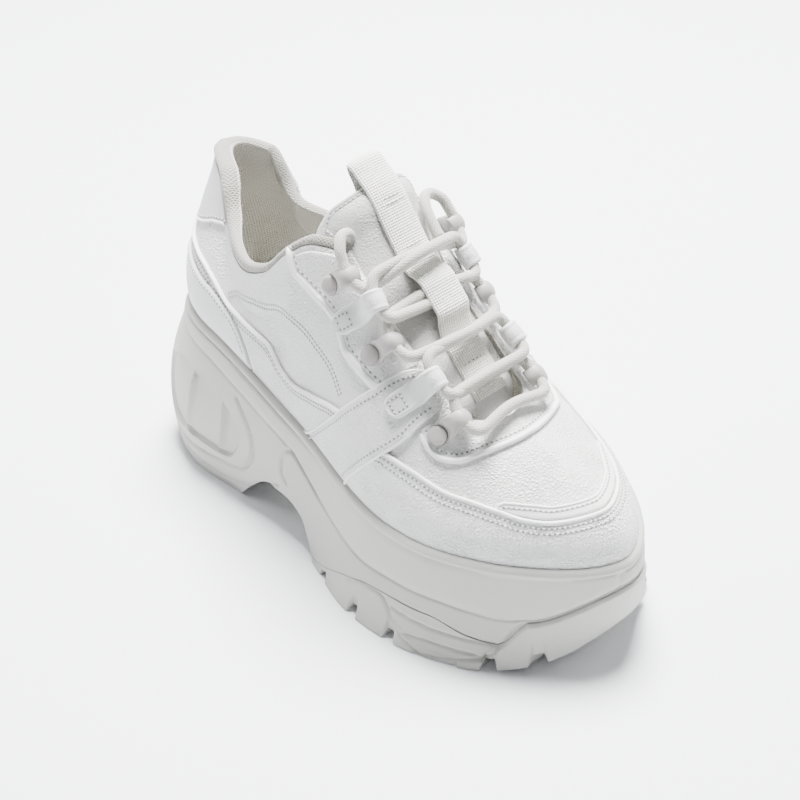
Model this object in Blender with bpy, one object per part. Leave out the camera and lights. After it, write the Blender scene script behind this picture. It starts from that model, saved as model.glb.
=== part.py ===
"""Platform sneaker, right foot: hollow upper on a tall moulded sole, with overlays, tongue and laces."""

from functools import cache

import bpy
import numpy as np

# Sizes of the sole, in metres
LENGTH = 0.285
BALL_WIDTH = 0.1113
BAND_HEIGHT = 0.0528
HEEL_RISE = 0.0296
HEEL_SETBACK = 0.013
TOE_ROUNDING = 0.078
TOE_POWER = 1.75
HEEL_ROUNDING = 0.042
HEEL_POWER = 2.1
TOE_SWING = 0.001
BAND_DEPTH = 0.0235
SOLE_FLARE = 0.010
HEEL_BULGE = 0.012
ARCH_HEIGHT = 0.020
TOE_SPRING = 0.012
OUTSOLE_HEIGHT = 0.0205
OUTSOLE_START = 0.48
CUP_DEPTH = 0.011
LIP = 0.0032
EDGE_ROUND = 0.0010
GROOVE = 0.0012
RELIEF_DEPTH = 0.0022
RELIEF_WIDTH = 0.004
NOTCH_DEPTH = 0.005
CHANNEL_WIDTH = 0.004
CHANNEL_HEIGHT = 0.003
CHANNEL_MARGIN = 0.010
CHANNEL_TAPER = 0.6
CUT_REACH = 0.006

# Sizes of the upper
COLLAR_HEIGHT = 0.150
COLLAR_WIDTH = 0.064
COLLAR_SHIFT = 0.0035
THROAT_LENGTH = 0.218
WALL = 0.0020
COLLAR_PAD = 0.0050
COLLAR_BULGE = 0.0014
OVERLAY = 0.0012
INSOLE_THICKNESS = 0.004
INSOLE_ROUND = 0.0012
CLEARANCE = 0.0003
SEAT = 0.0009

# Sizes of the tongue, the tape and the lacing
TONGUE_WIDTH = 0.056
TONGUE_THICKNESS = 0.006
TONGUE_SAG = 0.019
TAPE_WIDTH = 0.0185
TAPE_THICKNESS = 0.0014
HOOK_RADIUS = 0.0052
HOOK_HEIGHT = 0.0022
TUBE_RADIUS = 0.0042
TUBE_BORE = 0.0031
TUBE_LENGTH = 0.0090
LOOP_WIDTH = 0.0093
LOOP_BORE = 0.0034
LACE_DIAMETER = 0.0052
HOOK_REACH = 0.0118
LOOP_REACH = 0.0190
LOOP_LEATHER = 0.0013
BORE_MARGIN = 0.004
LACE_GAP = 0.0020
TONGUE_REACH = 0.130

# Places along the sole, as shares of the length
BALL_PLACE = 0.68
STEP_START = 0.36
PAD_FADE_START = 0.40
PAD_END = 0.52

# Counts of points round and along the forms
COLUMNS = 60
SOLE_COLUMNS = 72
TONGUE_STATIONS = 13
TAPE_STATIONS = 25
TAPE_POINTS = 38
WINDOW_POINTS = 22
SLOT_POINTS = 6
HOOK_SIDES = 10
STRAND_POINTS = 10
LACE_SIDES = 6
LACE_END_POINTS = 9

# Half widths of the band's top edge, as shares of BALL_WIDTH: (along, lateral, medial)
OUTLINE = (
    (0.00, 0.345, 0.345),
    (0.15, 0.352, 0.352),
    (0.42, 0.397, 0.368),
    (0.68, 0.520, 0.470),
    (0.76, 0.513, 0.480),
    (1.00, 0.450, 0.425),
)

# Sole heights: (along, band top over BAND_HEIGHT as a share of HEEL_RISE, depth of the band as a share
# of BAND_DEPTH, underside of the arch as a share of ARCH_HEIGHT, outsole's top as a share of
# OUTSOLE_HEIGHT)
SOLE_HEIGHTS = (
    (0.00, 1.00, 0.50, 0.00, 0.00),
    (0.12, 0.95, 0.50, 0.00, 0.00),
    (0.24, 0.71, 0.54, 0.00, 0.00),
    (0.28, 0.61, 0.56, 0.50, 0.00),
    (0.33, 0.48, 0.57, 0.97, 0.00),
    (0.38, 0.36, 0.60, 1.00, 0.02),
    (0.43, 0.26, 0.78, 0.82, 0.06),
    (0.48, 0.18, 1.04, 0.12, 0.10),
    (0.60, 0.06, 1.20, 0.00, 0.70),
    (0.68, 0.00, 1.08, 0.00, 0.96),
    (0.77, 0.00, 1.04, 0.00, 0.97),
    (0.83, 0.00, 1.10, 0.00, 0.71),
    (0.87, -0.01, 1.16, 0.00, 0.62),
    (0.91, -0.01, 1.12, 0.00, 1.25),
    (1.00, -0.03, 0.46, 0.00, 2.20),
)

# Toe spring of the tread: (along, share of TOE_SPRING)
SPRING = ((0.84, 0.0), (0.90, 0.22), (0.95, 0.50), (1.00, 0.96))

# Sideways swell of the sole: (along, at the band's lower edge, half way down and at the ground, all as
# shares of SOLE_FLARE, and behind the heel as a share of HEEL_BULGE)
SOLE_SWELL = (
    (0.00, 0.00, 0.00, 0.00, 1.00),
    (0.04, 0.12, 0.96, 0.92, 0.30),
    (0.12, 0.20, 1.06, 0.95, 0.00),
    (0.24, 0.28, 0.88, 0.68, 0.00),
    (0.36, 0.25, 0.50, 0.45, 0.00),
    (0.50, 0.22, 0.52, 0.86, 0.00),
    (0.62, 0.22, 0.66, 1.16, 0.00),
    (0.74, 0.22, 0.60, 1.05, 0.00),
    (0.90, 0.15, 0.32, 0.60, 0.00),
    (1.00, 0.10, -0.15, -0.75, 0.00),
)

# Part of the heel's bulge at the band's lower edge and at the ground
BULGE_SHARES = (0.4, 0.5)

# Rows down the sides, as shares of each side's height
BAND_ROWS = (0.35, 0.70, 1.0)
MIDSOLE_ROWS = (0.10, 0.40, 0.72, 1.0)
OUTSOLE_ROWS = (0.06, 0.35, 0.70, 0.93)

# Window on each side of the heel: (middle along, middle height as a share of BAND_HEIGHT, half length
# as a share of the length, half height as a share of BAND_HEIGHT, power of its rounding)
WINDOW = (0.175, 0.62, 0.095, 0.46, 0.78)

# Slots in the window: (top's place along and height, lower end's place along and height); heights are
# shares of BAND_HEIGHT
WINDOW_SLOTS = ((0.125, 0.95, 0.085, 0.32), (0.212, 0.88, 0.180, 0.30))

# Channels across the tread, as places along
HEEL_CHANNELS = (0.06, 0.12, 0.18)
NOTCHES = (0.531, 0.628, 0.709, 0.862, 0.922)

# Top line of the upper: (along the sole, along the shoe as a share of THROAT_LENGTH, half width as a
# share of half COLLAR_WIDTH, height as a share of COLLAR_HEIGHT, shift as a share of COLLAR_SHIFT)
TOP_LINE = (
    (0.00, 0.080, 0.00, 1.000, 2.4),
    (0.03, 0.097, 0.18, 1.004, 2.4),
    (0.12, 0.164, 0.44, 0.990, 2.4),
    (0.16, 0.197, 0.54, 0.955, 2.0),
    (0.20, 0.232, 0.64, 0.890, 1.4),
    (0.26, 0.296, 0.86, 0.846, 0.7),
    (0.30, 0.358, 0.97, 0.829, 0.3),
    (0.34, 0.422, 1.00, 0.856, 0.2),
    (0.40, 0.505, 1.00, 0.958, 0.3),
    (0.45, 0.578, 0.87, 1.022, 0.2),
    (0.50, 0.635, 0.73, 1.034, 0.2),
    (0.55, 0.690, 0.65, 0.975, -0.4),
    (0.63, 0.784, 0.59, 0.862, -1.1),
    (0.71, 0.872, 0.60, 0.755, -1.0),
    (0.80, 0.945, 0.57, 0.672, -1.1),
    (0.90, 0.982, 0.38, 0.650, -0.8),
    (1.00, 1.000, 0.00, 0.645, -0.8),
)

# Shape of the upper's sections: (along, outward lean and reach at the sole, then the way down and out
# from the top line and its reach); reaches are shares of COLLAR_HEIGHT
SECTIONS = (
    (0.00, 0.20, 0.17, -0.22, 0.00, -0.97, 0.15),
    (0.12, 0.12, 0.17, -0.05, -0.30, -0.95, 0.15),
    (0.30, 0.06, 0.14, 0.00, -0.26, -0.96, 0.12),
    (0.42, 0.05, 0.18, 0.00, -0.34, -0.94, 0.18),
    (0.50, 0.04, 0.20, 0.00, -0.50, -0.87, 0.22),
    (0.63, 0.04, 0.17, 0.05, -0.72, -0.69, 0.17),
    (0.75, 0.04, 0.12, 0.12, -0.72, -0.68, 0.12),
    (0.85, 0.04, 0.11, 0.36, -0.70, -0.61, 0.13),
    (0.93, 0.05, 0.12, 0.68, -0.52, -0.52, 0.16),
    (1.00, 0.06, 0.15, 0.90, 0.00, -0.43, 0.20),
)

# Edges of the overlays as heights on the upper: (along, height between lip and top line)
COLLAR_LINE = (
    (0.000, 0.930), (0.060, 0.920), (0.120, 0.870), (0.183, 0.800), (0.300, 0.860),
    (0.420, 0.920), (0.520, 0.950),
)
TAB_LINE = (
    (0.000, 0.530), (0.050, 0.550), (0.133, 0.690), (0.183, 0.780),
)
COUNTER_LINE = (
    (0.000, 0.360), (0.060, 0.355), (0.123, 0.325), (0.190, 0.260), (0.215, 0.200),
    (0.242, 0.050),
)
WAVE_LOW = (
    (0.000, 0.375), (0.060, 0.370), (0.123, 0.340), (0.190, 0.285), (0.222, 0.230),
    (0.262, 0.040), (0.300, 0.012), (0.410, 0.012), (0.435, 0.060), (0.505, 0.265),
)
WAVE_HIGH = (
    (0.000, 0.460), (0.071, 0.420), (0.140, 0.385), (0.210, 0.400), (0.275, 0.440),
    (0.330, 0.400), (0.386, 0.250), (0.453, 0.250), (0.505, 0.285),
)
EYESTAY_LOW = (
    (0.415, 0.870), (0.445, 0.770), (0.495, 0.675), (0.536, 0.600), (0.588, 0.585),
    (0.615, 0.620), (0.640, 0.710), (0.665, 0.840), (0.685, 0.950),
)
EYESTAY_HIGH = (
    (0.415, 0.905), (0.460, 0.920), (0.510, 0.940), (0.550, 0.985), (0.685, 0.985),
)
STRAP_HIGH = (
    (0.435, 0.040), (0.539, 0.338), (0.622, 0.606), (0.674, 0.856), (0.700, 0.985),
)
STRAP_LOW = (
    (0.520, 0.010), (0.552, 0.020), (0.600, 0.180), (0.662, 0.388), (0.715, 0.619),
    (0.760, 0.920),
)
MUDGUARD_HIGH = (
    (0.567, 0.030), (0.600, 0.140), (0.640, 0.275), (0.670, 0.380), (0.700, 0.420),
    (0.738, 0.444), (0.827, 0.450), (0.889, 0.413), (0.920, 0.370), (0.958, 0.346),
    (1.000, 0.350),
)
CRESCENT_LOW = (
    (0.885, 0.430), (0.920, 0.390), (0.958, 0.366), (1.000, 0.370),
)
CRESCENT_HIGH = (
    (0.885, 0.445), (0.905, 0.475), (0.939, 0.463), (0.966, 0.441), (1.000, 0.440),
)
THROAT_LOW = (
    (0.728, 0.660), (0.757, 0.630), (0.819, 0.681), (0.904, 0.794), (1.000, 0.865),
)
THROAT_HIGH = (
    (0.728, 0.690), (0.750, 0.800), (0.775, 0.940), (0.790, 0.985), (1.000, 0.985),
)
FOOT_LINE = ((0.0, 0.012), (1.0, 0.012))

# Overlays round the heel or the toe: (name, start, end, lower edge, upper edge, rows, columns)
ROUND_OVERLAYS = (
    ("heel_tab", 0, 0.183, TAB_LINE, COLLAR_LINE, 3, 17),
    ("heel_counter", 0, 0.24, FOOT_LINE, COUNTER_LINE, 3, 21),
    ("wave_overlay", 0, 0.50, WAVE_LOW, WAVE_HIGH, 3, 33),
    ("mudguard", 0.567, 1, FOOT_LINE, MUDGUARD_HIGH, 5, 31),
    ("toe_crescent", 0.885, 1, CRESCENT_LOW, CRESCENT_HIGH, 2, 17),
    ("throat_overlay", 0.728, 1, THROAT_LOW, THROAT_HIGH, 3, 25),
)

# Overlays on each side, in the same columns
SIDE_OVERLAYS = (
    ("eyestay", 0.415, 0.685, EYESTAY_LOW, EYESTAY_HIGH, 4, 13),
    ("strap", 0.44, 0.755, STRAP_LOW, STRAP_HIGH, 4, 13),
)

# Rows of the upper: outside up to the collar, over the rim as (height, share of the way in), inside down
UPPER_OUTER = (-1.0, 0.0, 0.10, 0.20, 0.31, 0.43, 0.56, 0.69, 0.80)
COLLAR_ROWS = (-0.02, 0.4)
COLLAR_TOP = 0.965
RIM = ((0.97, 0.0), (0.998, 0.2), (0.998, 0.8), (0.97, 1.0))
UPPER_INNER = (0.90, 0.75, 0.56, 0.32, 0.08, -1.0)

# Padding of the collar: heights where it starts and is full inside, and share of the collar in which it
# swells outside
PAD_LOW = 0.42
PAD_HIGH = 0.72
PAD_SWELL = 0.25

# Middle line of the tongue's front: (along the shoe as a share of THROAT_LENGTH, height as a share of
# COLLAR_HEIGHT, half width as a share of half TONGUE_WIDTH, thickness as a share of TONGUE_THICKNESS,
# shift as a share of COLLAR_SHIFT)
TONGUE_LINE = (
    (0.00, 1.050, 0.560, 0.60, 0.40, -0.5),
    (0.08, 0.993, 0.605, 0.62, 0.45, -0.5),
    (0.16, 0.948, 0.662, 0.64, 0.60, -0.4),
    (0.30, 0.890, 0.740, 0.58, 0.90, -0.2),
    (0.50, 0.800, 0.872, 0.52, 1.00, 0.1),
    (0.70, 0.712, 1.010, 0.54, 1.00, 0.3),
    (0.80, 0.673, 1.075, 0.58, 0.95, 0.5),
    (0.90, 0.640, 1.130, 0.92, 0.85, 0.7),
    (1.00, 0.612, 1.165, 0.90, 0.55, 0.8),
)

# Pull loop and tape over the tongue: (along the tongue, height over it as a share of LACE_DIAMETER)
TAPE_LINE = ((0.165, 0.06), (0.425, 0.06), (0.475, 1.2), (0.58, 1.2), (0.62, 0.06), (0.97, 0.16))
LOOP_LINE = ((0.9, 3.0), (0.6, 7.0), (-0.8, 8.6), (-2.4, 7.0), (-3.8, 2.5), (-5.6, -1.5), (-6.8, -7.0))

# Eyelets on each side from the toe up: (kind, along, height of its outer end, along and height of its
# lace end)
EYELETS = (
    ("hook", 0.768, 0.750, 0.807, 0.900),
    ("loop", 0.677, 0.700, 0.713, 0.900),
    ("hook", 0.611, 0.770, 0.636, 0.900),
    ("loop", 0.551, 0.775, 0.585, 0.925),
    ("hook", 0.505, 0.820, 0.533, 0.920),
)

# Section of the tongue: (across as a share of its half width, height as a share of its thickness)
TONGUE_SECTION = (
    (-0.94, 1.0), (-0.66, 1.0), (-0.33, 1.0), (0.0, 1.0), (0.33, 1.0), (0.66, 1.0), (0.94, 1.0),
    (1.0, 0.7), (1.0, 0.3),
    (0.94, 0.0), (0.66, 0.0), (0.33, 0.0), (0.0, 0.0), (-0.33, 0.0), (-0.66, 0.0), (-0.94, 0.0),
    (-1.0, 0.3), (-1.0, 0.7),
)

# Rivet of a hook: (height as a share of HOOK_HEIGHT, radius as a share of HOOK_RADIUS)
RIVET = ((0.0, 1.0), (0.6, 1.0), (1.0, 0.7))

# Neck of a hook: half width at the rivet as a share of HOOK_RADIUS, half width at the tube as a share of
# its half length, and height as a share of HOOK_HEIGHT; then the part of a loop behind its seat
NECK = (0.8, 0.9, 0.8)
LOOP_TAIL = 0.4

# Lace strands over the tongue: (name, from eyelet, its side and end, to eyelet, its side and end, height
# of the middle over the tape and its shift up the tongue, both as shares of the lace); ends are 1 towards
# the toe and -1 towards the collar
STRANDS = (
    ("lace_bar", (0, -1, 1), (0, 1, 1), 1.1, 0.1),
    ("lace_crossing_1", (0, -1, -1), (1, 1, 1), 0.85, 0.1),
    ("lace_crossing_1", (0, 1, -1), (1, -1, 1), 0.10, -0.1),
    ("lace_crossing_2", (2, -1, 1), (1, 1, -1), 0.95, -0.2),
    ("lace_crossing_2", (1, -1, -1), (2, 1, 1), 0.25, -0.2),
    ("lace_crossing_3", (2, -1, -1), (3, 1, 1), -0.33, 0.5),
    ("lace_crossing_3", (2, 1, -1), (3, -1, 1), -0.33, -0.45),
    ("lace_crossing_4", (3, -1, -1), (4, 1, 1), 0.40, 0.4),
    ("lace_crossing_4", (4, -1, 1), (3, 1, -1), 1.10, 0.4),
)

# How a strand leaves its eyelet: out and up in lace diameters, then part of the way to its middle
STRAND_LEAD = 0.5
STRAND_LIFT = 0.2
STRAND_NEAR = 0.14

# Free ends of the lace from the collar side of the top hooks: (side, points as reach towards the toe,
# inwards and up, all in lace diameters)
LACE_ENDS = (
    ("lateral", -1, (
        (-0.50, 0.20, 0.80), (-1.15, 0.95, 1.50), (-1.45, 1.90, 1.30), (-1.60, 2.38, 0.42),
        (-1.68, 2.50, -0.50), (-1.70, 2.50, -1.80),
    )),
    ("medial", 1, (
        (-0.67, 0.20, 0.90), (-1.25, 0.95, 1.50), (-1.00, 1.90, 1.65), (-0.20, 2.55, 1.20),
        (0.80, 2.90, 0.45), (1.85, 3.10, -0.45),
    )),
)


def table(rows, at):
    """Smooth monotone curve through each column of the rows, read at the given places."""
    rows = np.array(rows, float)
    x, y = rows[:, 0], rows[:, 1:]
    h = np.diff(x)[:, None]
    d = np.diff(y, axis=0) / h
    m = np.zeros_like(y)
    same = d[:-1] * d[1:] > 0
    w1, w2 = 2 * h[1:] + h[:-1], h[1:] + 2 * h[:-1]
    with np.errstate(divide="ignore", invalid="ignore"):
        mean = (w1 + w2) / (w1 / d[:-1] + w2 / d[1:])
    m[1:-1] = np.where(same, mean, 0)
    m[0], m[-1] = d[0], d[-1]
    at = np.clip(np.asarray(at, float), x[0], x[-1])
    k = np.clip(np.searchsorted(x, at, side="right") - 1, 0, len(x) - 2)
    t = ((at - x[k]) / h[k, 0])[..., None]
    hk = h[k]
    value = (
        (1 + 2 * t) * (1 - t) ** 2 * y[k]
        + t * (1 - t) ** 2 * hk * m[k]
        + t * t * (3 - 2 * t) * y[k + 1]
        + t * t * (t - 1) * hk * m[k + 1]
    )
    return np.moveaxis(value, -1, 0)


def along(turn):
    """Share of the length at a place round the shoe: 0 at the heel, 1 and -1 at the toe."""
    turn = np.abs((np.asarray(turn, float) + 1) % 2 - 1)
    return (1 - np.cos(np.pi * turn)) / 2


def turn_of(share, side):
    return side * np.arccos(1 - 2 * np.asarray(share, float)) / np.pi


def band_edge(turn):
    """Plan view of the band's top edge; the lateral side has negative turns and negative y."""
    turn = (np.asarray(turn, float) + 1) % 2 - 1
    share = along(turn)
    x = HEEL_SETBACK + (LENGTH - HEEL_SETBACK) * share
    lateral, medial = table(OUTLINE, x / LENGTH) * BALL_WIDTH
    side = np.where(turn < 0, -lateral, medial)

    def rounded(distance, reach, power):
        gap = np.clip(1 - distance / reach, 0, 1)
        return np.maximum(1 - gap**power, 0) ** (1 / power)

    heel = rounded(x - HEEL_SETBACK, HEEL_ROUNDING, HEEL_POWER)
    toe = rounded(LENGTH - x, TOE_ROUNDING, TOE_POWER)
    swing = TOE_SWING * np.clip((x / LENGTH - BALL_PLACE) / (1 - BALL_PLACE), 0, 1) ** 2
    return np.stack([x, side * heel * toe + swing], -1)


def edge_normal(turn):
    step = 0.004
    way = band_edge(turn + step) - band_edge(turn - step)
    normal = np.stack([-way[..., 1], way[..., 0]], -1)
    return normal / np.linalg.norm(normal, axis=-1, keepdims=True)


def sole_line(turn, out, height):
    """Points round the shoe at a distance outside the band's top edge and at a height."""
    plan = band_edge(turn) + edge_normal(turn) * np.broadcast_to(out, np.shape(turn))[..., None]
    height = np.broadcast_to(height, np.shape(turn))
    return np.concatenate([plan, height[..., None]], -1)


def sole_levels(turn):
    """Heights of the band's top and lower edge, of the midsole's and the tread's underside."""
    share = along(turn)
    rise, depth, arch, outsole = table(SOLE_HEIGHTS, share)
    top = BAND_HEIGHT + HEEL_RISE * rise
    low = top - BAND_DEPTH * depth
    joint = np.minimum(OUTSOLE_HEIGHT * outsole, low - GROOVE)
    under = np.where(share < OUTSOLE_START, ARCH_HEIGHT * arch, joint)
    (spring,) = table(SPRING, share)
    return top, low, under, TOE_SPRING * spring


def sole_swell(turn):
    """Distances outside the band's top edge: at its lower edge, half way down and at the ground."""
    low, middle, ground, behind = table(SOLE_SWELL, along(turn))
    back = behind * HEEL_BULGE
    at_band, at_ground = BULGE_SHARES
    low = low * SOLE_FLARE + back * at_band
    middle = middle * SOLE_FLARE + back
    return low, middle, ground * SOLE_FLARE + back * at_ground


def sole_wall(turn, height, out=0.0):
    """Point of the sole's side at a height, at a distance outside it."""
    top, low, _, tread = sole_levels(turn)
    at_low, at_middle, at_ground = sole_swell(turn)
    upper_share = np.clip((top - height) / (top - low), 0, 1)
    down = np.clip((low - height) / (low - tread), 0, 1)
    below = at_low * (2 * down - 1) * (down - 1) + at_middle * 4 * down * (1 - down)
    below = below + at_ground * down * (2 * down - 1)
    swell = np.where(height > low, at_low * np.sin(upper_share * np.pi / 2), below)
    return sole_line(turn, swell + out, height)


def cup_floor(turn):
    return sole_levels(turn)[0] - CUP_DEPTH


def upper_point(turn, up):
    """Middle form of the upper: up runs from -1 on the cup's floor over 0 at the lip to 1 at the top line."""
    turn, up = np.broadcast_arrays(np.asarray(turn, float), np.asarray(up, float))
    share = along(turn)
    side = np.where((turn + 1) % 2 - 1 < 0, 1, -1)
    base = sole_line(turn, -LIP - CLEARANCE, sole_levels(turn)[0])
    outward = edge_normal(turn)
    lean, reach, way_x, way_y, way_z, top_reach = table(SECTIONS, share)
    place, width, height, shift = table(TOP_LINE, share)
    across = shift * COLLAR_SHIFT - side * width * COLLAR_WIDTH / 2
    top = np.stack([place * THROAT_LENGTH, across, height * COLLAR_HEIGHT], -1)
    way = np.stack([way_x, side * way_y, way_z], -1)
    way /= np.linalg.norm(way, axis=-1, keepdims=True)
    rise = np.concatenate([outward * lean[..., None], np.ones(share.shape + (1,))], -1)
    p1 = base + rise * (reach * COLLAR_HEIGHT)[..., None]
    p2 = top + way * (top_reach * COLLAR_HEIGHT)[..., None]
    t = np.clip(up, 0, 1)[..., None]
    curve = (1 - t) ** 3 * base + 3 * t * (1 - t) ** 2 * p1 + 3 * t * t * (1 - t) * p2 + t**3 * top
    down = np.clip(up, -1, 0)[..., None] * np.array([0, 0, CUP_DEPTH - CLEARANCE])
    return curve + down


def upper_form(turn, up, out=0.0):
    """Point at a distance outside the upper's middle form."""
    step = 0.004
    turn, up, out = np.broadcast_arrays(
        np.asarray(turn, float), np.asarray(up, float), np.asarray(out, float)
    )
    round_way = upper_point(turn + step, up) - upper_point(turn - step, up)
    high, low = np.minimum(up + step, 1), np.maximum(up - step, -1)
    up_way = upper_point(turn, high) - upper_point(turn, low)
    normal = np.cross(up_way, round_way)
    normal /= np.linalg.norm(normal, axis=-1, keepdims=True)
    return upper_point(turn, up) + normal * out[..., None]


def principled(name, colour, roughness, metallic=0.0):
    material = bpy.data.materials.new(name)
    material.use_nodes = True
    shader = material.node_tree.nodes["Principled BSDF"]
    shader.inputs["Base Color"].default_value = (*colour, 1)
    shader.inputs["Roughness"].default_value = roughness
    shader.inputs["Metallic"].default_value = metallic
    return material


def place(points):
    """Moves points from the heel's end to the middle of the sole."""
    return np.asarray(points, float) - sole_middle()


@cache
def sole_middle():
    """Middle of the sole's box on the ground."""
    points = np.concatenate([np.reshape(midsole_rows(), (-1, 3)), np.reshape(outsole_rows(), (-1, 3))])
    middle = (points.min(0) + points.max(0)) / 2
    return middle * np.array([1, 1, 0])


def solid(name, points, faces, material, smooth=35):
    """One mesh object, shaded smooth but for its sharp edges."""
    mesh = bpy.data.meshes.new(name)
    mesh.from_pydata([tuple(p) for p in place(points)], [], faces)
    mesh.materials.append(material)
    mesh.shade_smooth()
    mesh.set_sharp_from_angle(angle=np.radians(smooth))
    thing = bpy.data.objects.new(name, mesh)
    bpy.context.scene.collection.objects.link(thing)
    return thing


def strip(row, other, closed):
    """Quads between two rows of point numbers."""
    n = len(row)
    last = n if closed else n - 1
    return [(row[i], row[(i + 1) % n], other[(i + 1) % n], other[i]) for i in range(last)]


def tidy(faces):
    """Drops repeated numbers from each face, and faces left with under three."""
    kept = []
    for face in faces:
        short = tuple(p for i, p in enumerate(face) if p != face[i - 1])
        if len(short) > 2:
            kept.append(short)
    return kept


def shell(rows, closed):
    """Points and faces of a solid with side rows, and lids joining left and right points."""
    rows = np.array(rows)
    levels, columns = rows.shape[:2]
    number = np.arange(levels * columns).reshape(levels, columns)
    faces = []
    for level in range(levels - 1):
        faces += strip(number[level], number[level + 1], closed)
    across = (columns - np.arange(columns)) % columns if closed else columns - 1 - np.arange(columns)
    half = columns // 2
    for ring, flip in ((number[0], True), (number[-1], False)):
        for k in range(half):
            face = (ring[k], ring[k + 1], ring[across[k + 1]], ring[across[k]])
            faces.append(face[::-1] if flip else face)
    if not closed:
        faces += strip(number[:, 0], number[:, -1], False)
    return rows.reshape(-1, 3), tidy(faces)


def slab(front, back):
    """Points and faces of a solid between two grids of points."""
    rows, columns = front.shape[:2]
    number = np.arange(rows * columns).reshape(rows, columns)
    faces = []
    for r in range(rows - 1):
        faces += strip(number[r], number[r + 1], False)
    shift = rows * columns
    faces += [tuple(p + shift for p in reversed(f)) for f in faces]
    rim = list(number[0]) + list(number[1:, -1]) + list(number[-1, -2::-1]) + list(number[-2:0:-1, 0])
    other = [p + shift for p in rim]
    faces += strip(other, rim, True)
    return np.concatenate([front.reshape(-1, 3), back.reshape(-1, 3)]), faces


def cut(thing, cutters, operation="DIFFERENCE"):
    """Boolean of a solid with one or more helpers, which are not rendered."""
    for cutter in cutters:
        cutter.hide_render = True
        cutter.display_type = "WIRE"
        modifier = thing.modifiers.new(operation.lower(), "BOOLEAN")
        modifier.operation = operation
        modifier.object = cutter


def midsole_rows():
    """Closed rings of the midsole from the cup's floor over the rim and down the side."""
    turns = -1 + 2 * np.arange(SOLE_COLUMNS) / SOLE_COLUMNS
    top, low, under, _ = sole_levels(turns)
    step = GROOVE * np.clip((along(turns) - STEP_START) / (OUTSOLE_START - STEP_START), 0, 1)
    rows = [
        sole_line(turns, -LIP, cup_floor(turns)),
        sole_line(turns, -LIP, top - EDGE_ROUND),
        sole_line(turns, -LIP + EDGE_ROUND, top),
        sole_line(turns, -EDGE_ROUND, top),
        sole_line(turns, 0, top - EDGE_ROUND),
    ]
    for share in BAND_ROWS:
        rows.append(sole_wall(turns, top + (low - top) * share))
    for share in MIDSOLE_ROWS:
        rows.append(sole_wall(turns, low + (under - low) * share, -step))
    return rows


def make_midsole(material):
    body = solid("midsole", *shell(midsole_rows(), True), material)
    cut(body, [window_ring(side, material) for side in (-1, 1)])
    cut(body, [window_slot(side, row, material) for side in (-1, 1) for row in WINDOW_SLOTS])
    cut(body, [heel_channel(share, material) for share in HEEL_CHANNELS])
    return body


def wall_cutter(name, outer, inner, side, material):
    """Closed band cut into the sole's side between two loops of (along, height)."""
    grid = []
    for loop, out in ((outer, CUT_REACH), (outer, -RELIEF_DEPTH), (inner, -RELIEF_DEPTH), (inner, CUT_REACH)):
        loop = np.array(loop)
        grid.append(sole_wall(turn_of(loop[:, 0], side), loop[:, 1], out))
    rows = np.array(grid)
    number = np.arange(rows.shape[0] * rows.shape[1]).reshape(rows.shape[:2])
    faces = []
    for r in range(4):
        faces += strip(number[r], number[(r + 1) % 4], True)
    if side < 0:
        faces = [f[::-1] for f in faces]
    return solid(name, rows.reshape(-1, 3), faces, material)


def window_loop(grow):
    """Rounded outline of the window, grown by a length, as places along and heights."""
    middle, height, half_length, half_height, power = WINDOW
    angles = np.linspace(0, 2 * np.pi, WINDOW_POINTS, endpoint=False)
    c, s = np.cos(angles), np.sin(angles)
    x = middle + (half_length + grow / LENGTH) * np.sign(c) * np.abs(c) ** power
    z = height * BAND_HEIGHT + (half_height * BAND_HEIGHT + grow) * np.sign(s) * np.abs(s) ** power
    return np.stack([x, z], -1)


def window_ring(side, material):
    width = RELIEF_WIDTH / 2
    return wall_cutter(f"cutter_ring_{side}", window_loop(width), window_loop(-width), side, material)


def window_slot(side, row, material):
    top_x, top_z, low_x, low_z = row
    t = np.linspace(0, 1, SLOT_POINTS)[:, None]
    middle = np.array([top_x, top_z * BAND_HEIGHT]) * (1 - t) + np.array([low_x, low_z * BAND_HEIGHT]) * t
    half = RELIEF_WIDTH / 2 / LENGTH
    edges = [turn_of(middle[:, 0] + w, side) for w in (-half, half)]
    outer, inner = (
        np.array([sole_wall(edge, middle[:, 1], out) for edge in edges]) for out in (CUT_REACH, -RELIEF_DEPTH)
    )
    points, faces = slab(outer, inner)
    if side > 0:
        faces = [f[::-1] for f in faces]
    return solid(f"cutter_slot_{side}_{top_x}", points, faces, material)


def block(name, corners_low, corners_high, material):
    """Solid with a four-cornered floor and top."""
    points = np.array(list(corners_low) + list(corners_high))
    faces = [(3, 2, 1, 0), (4, 5, 6, 7), (0, 1, 5, 4), (1, 2, 6, 5), (2, 3, 7, 6), (3, 0, 4, 7)]
    return solid(name, points, faces, material)


def channel(name, x, height, reach_lateral, reach_medial, material):
    """Block across the tread, narrower above, that cuts a channel between two lugs."""
    half = CHANNEL_WIDTH / 2
    reaches = (reach_lateral, reach_lateral, reach_medial, reach_medial)
    levels = []
    for width, z in ((half, -CUT_REACH), (half * CHANNEL_TAPER, height)):
        levels.append([(x + w, y, z) for w, y in zip((-width, width, width, -width), reaches)])
    return block(name, *levels, material)


def heel_channel(share, material):
    """Shallow channel that stops short of the heel's sides."""
    lateral, medial = (band_edge(turn_of(share, side))[1] for side in (-1, 1))
    sides = lateral + CHANNEL_MARGIN, medial - CHANNEL_MARGIN
    return channel(f"cutter_heel_{share}", share * LENGTH + HEEL_SETBACK, CHANNEL_HEIGHT, *sides, material)


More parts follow.
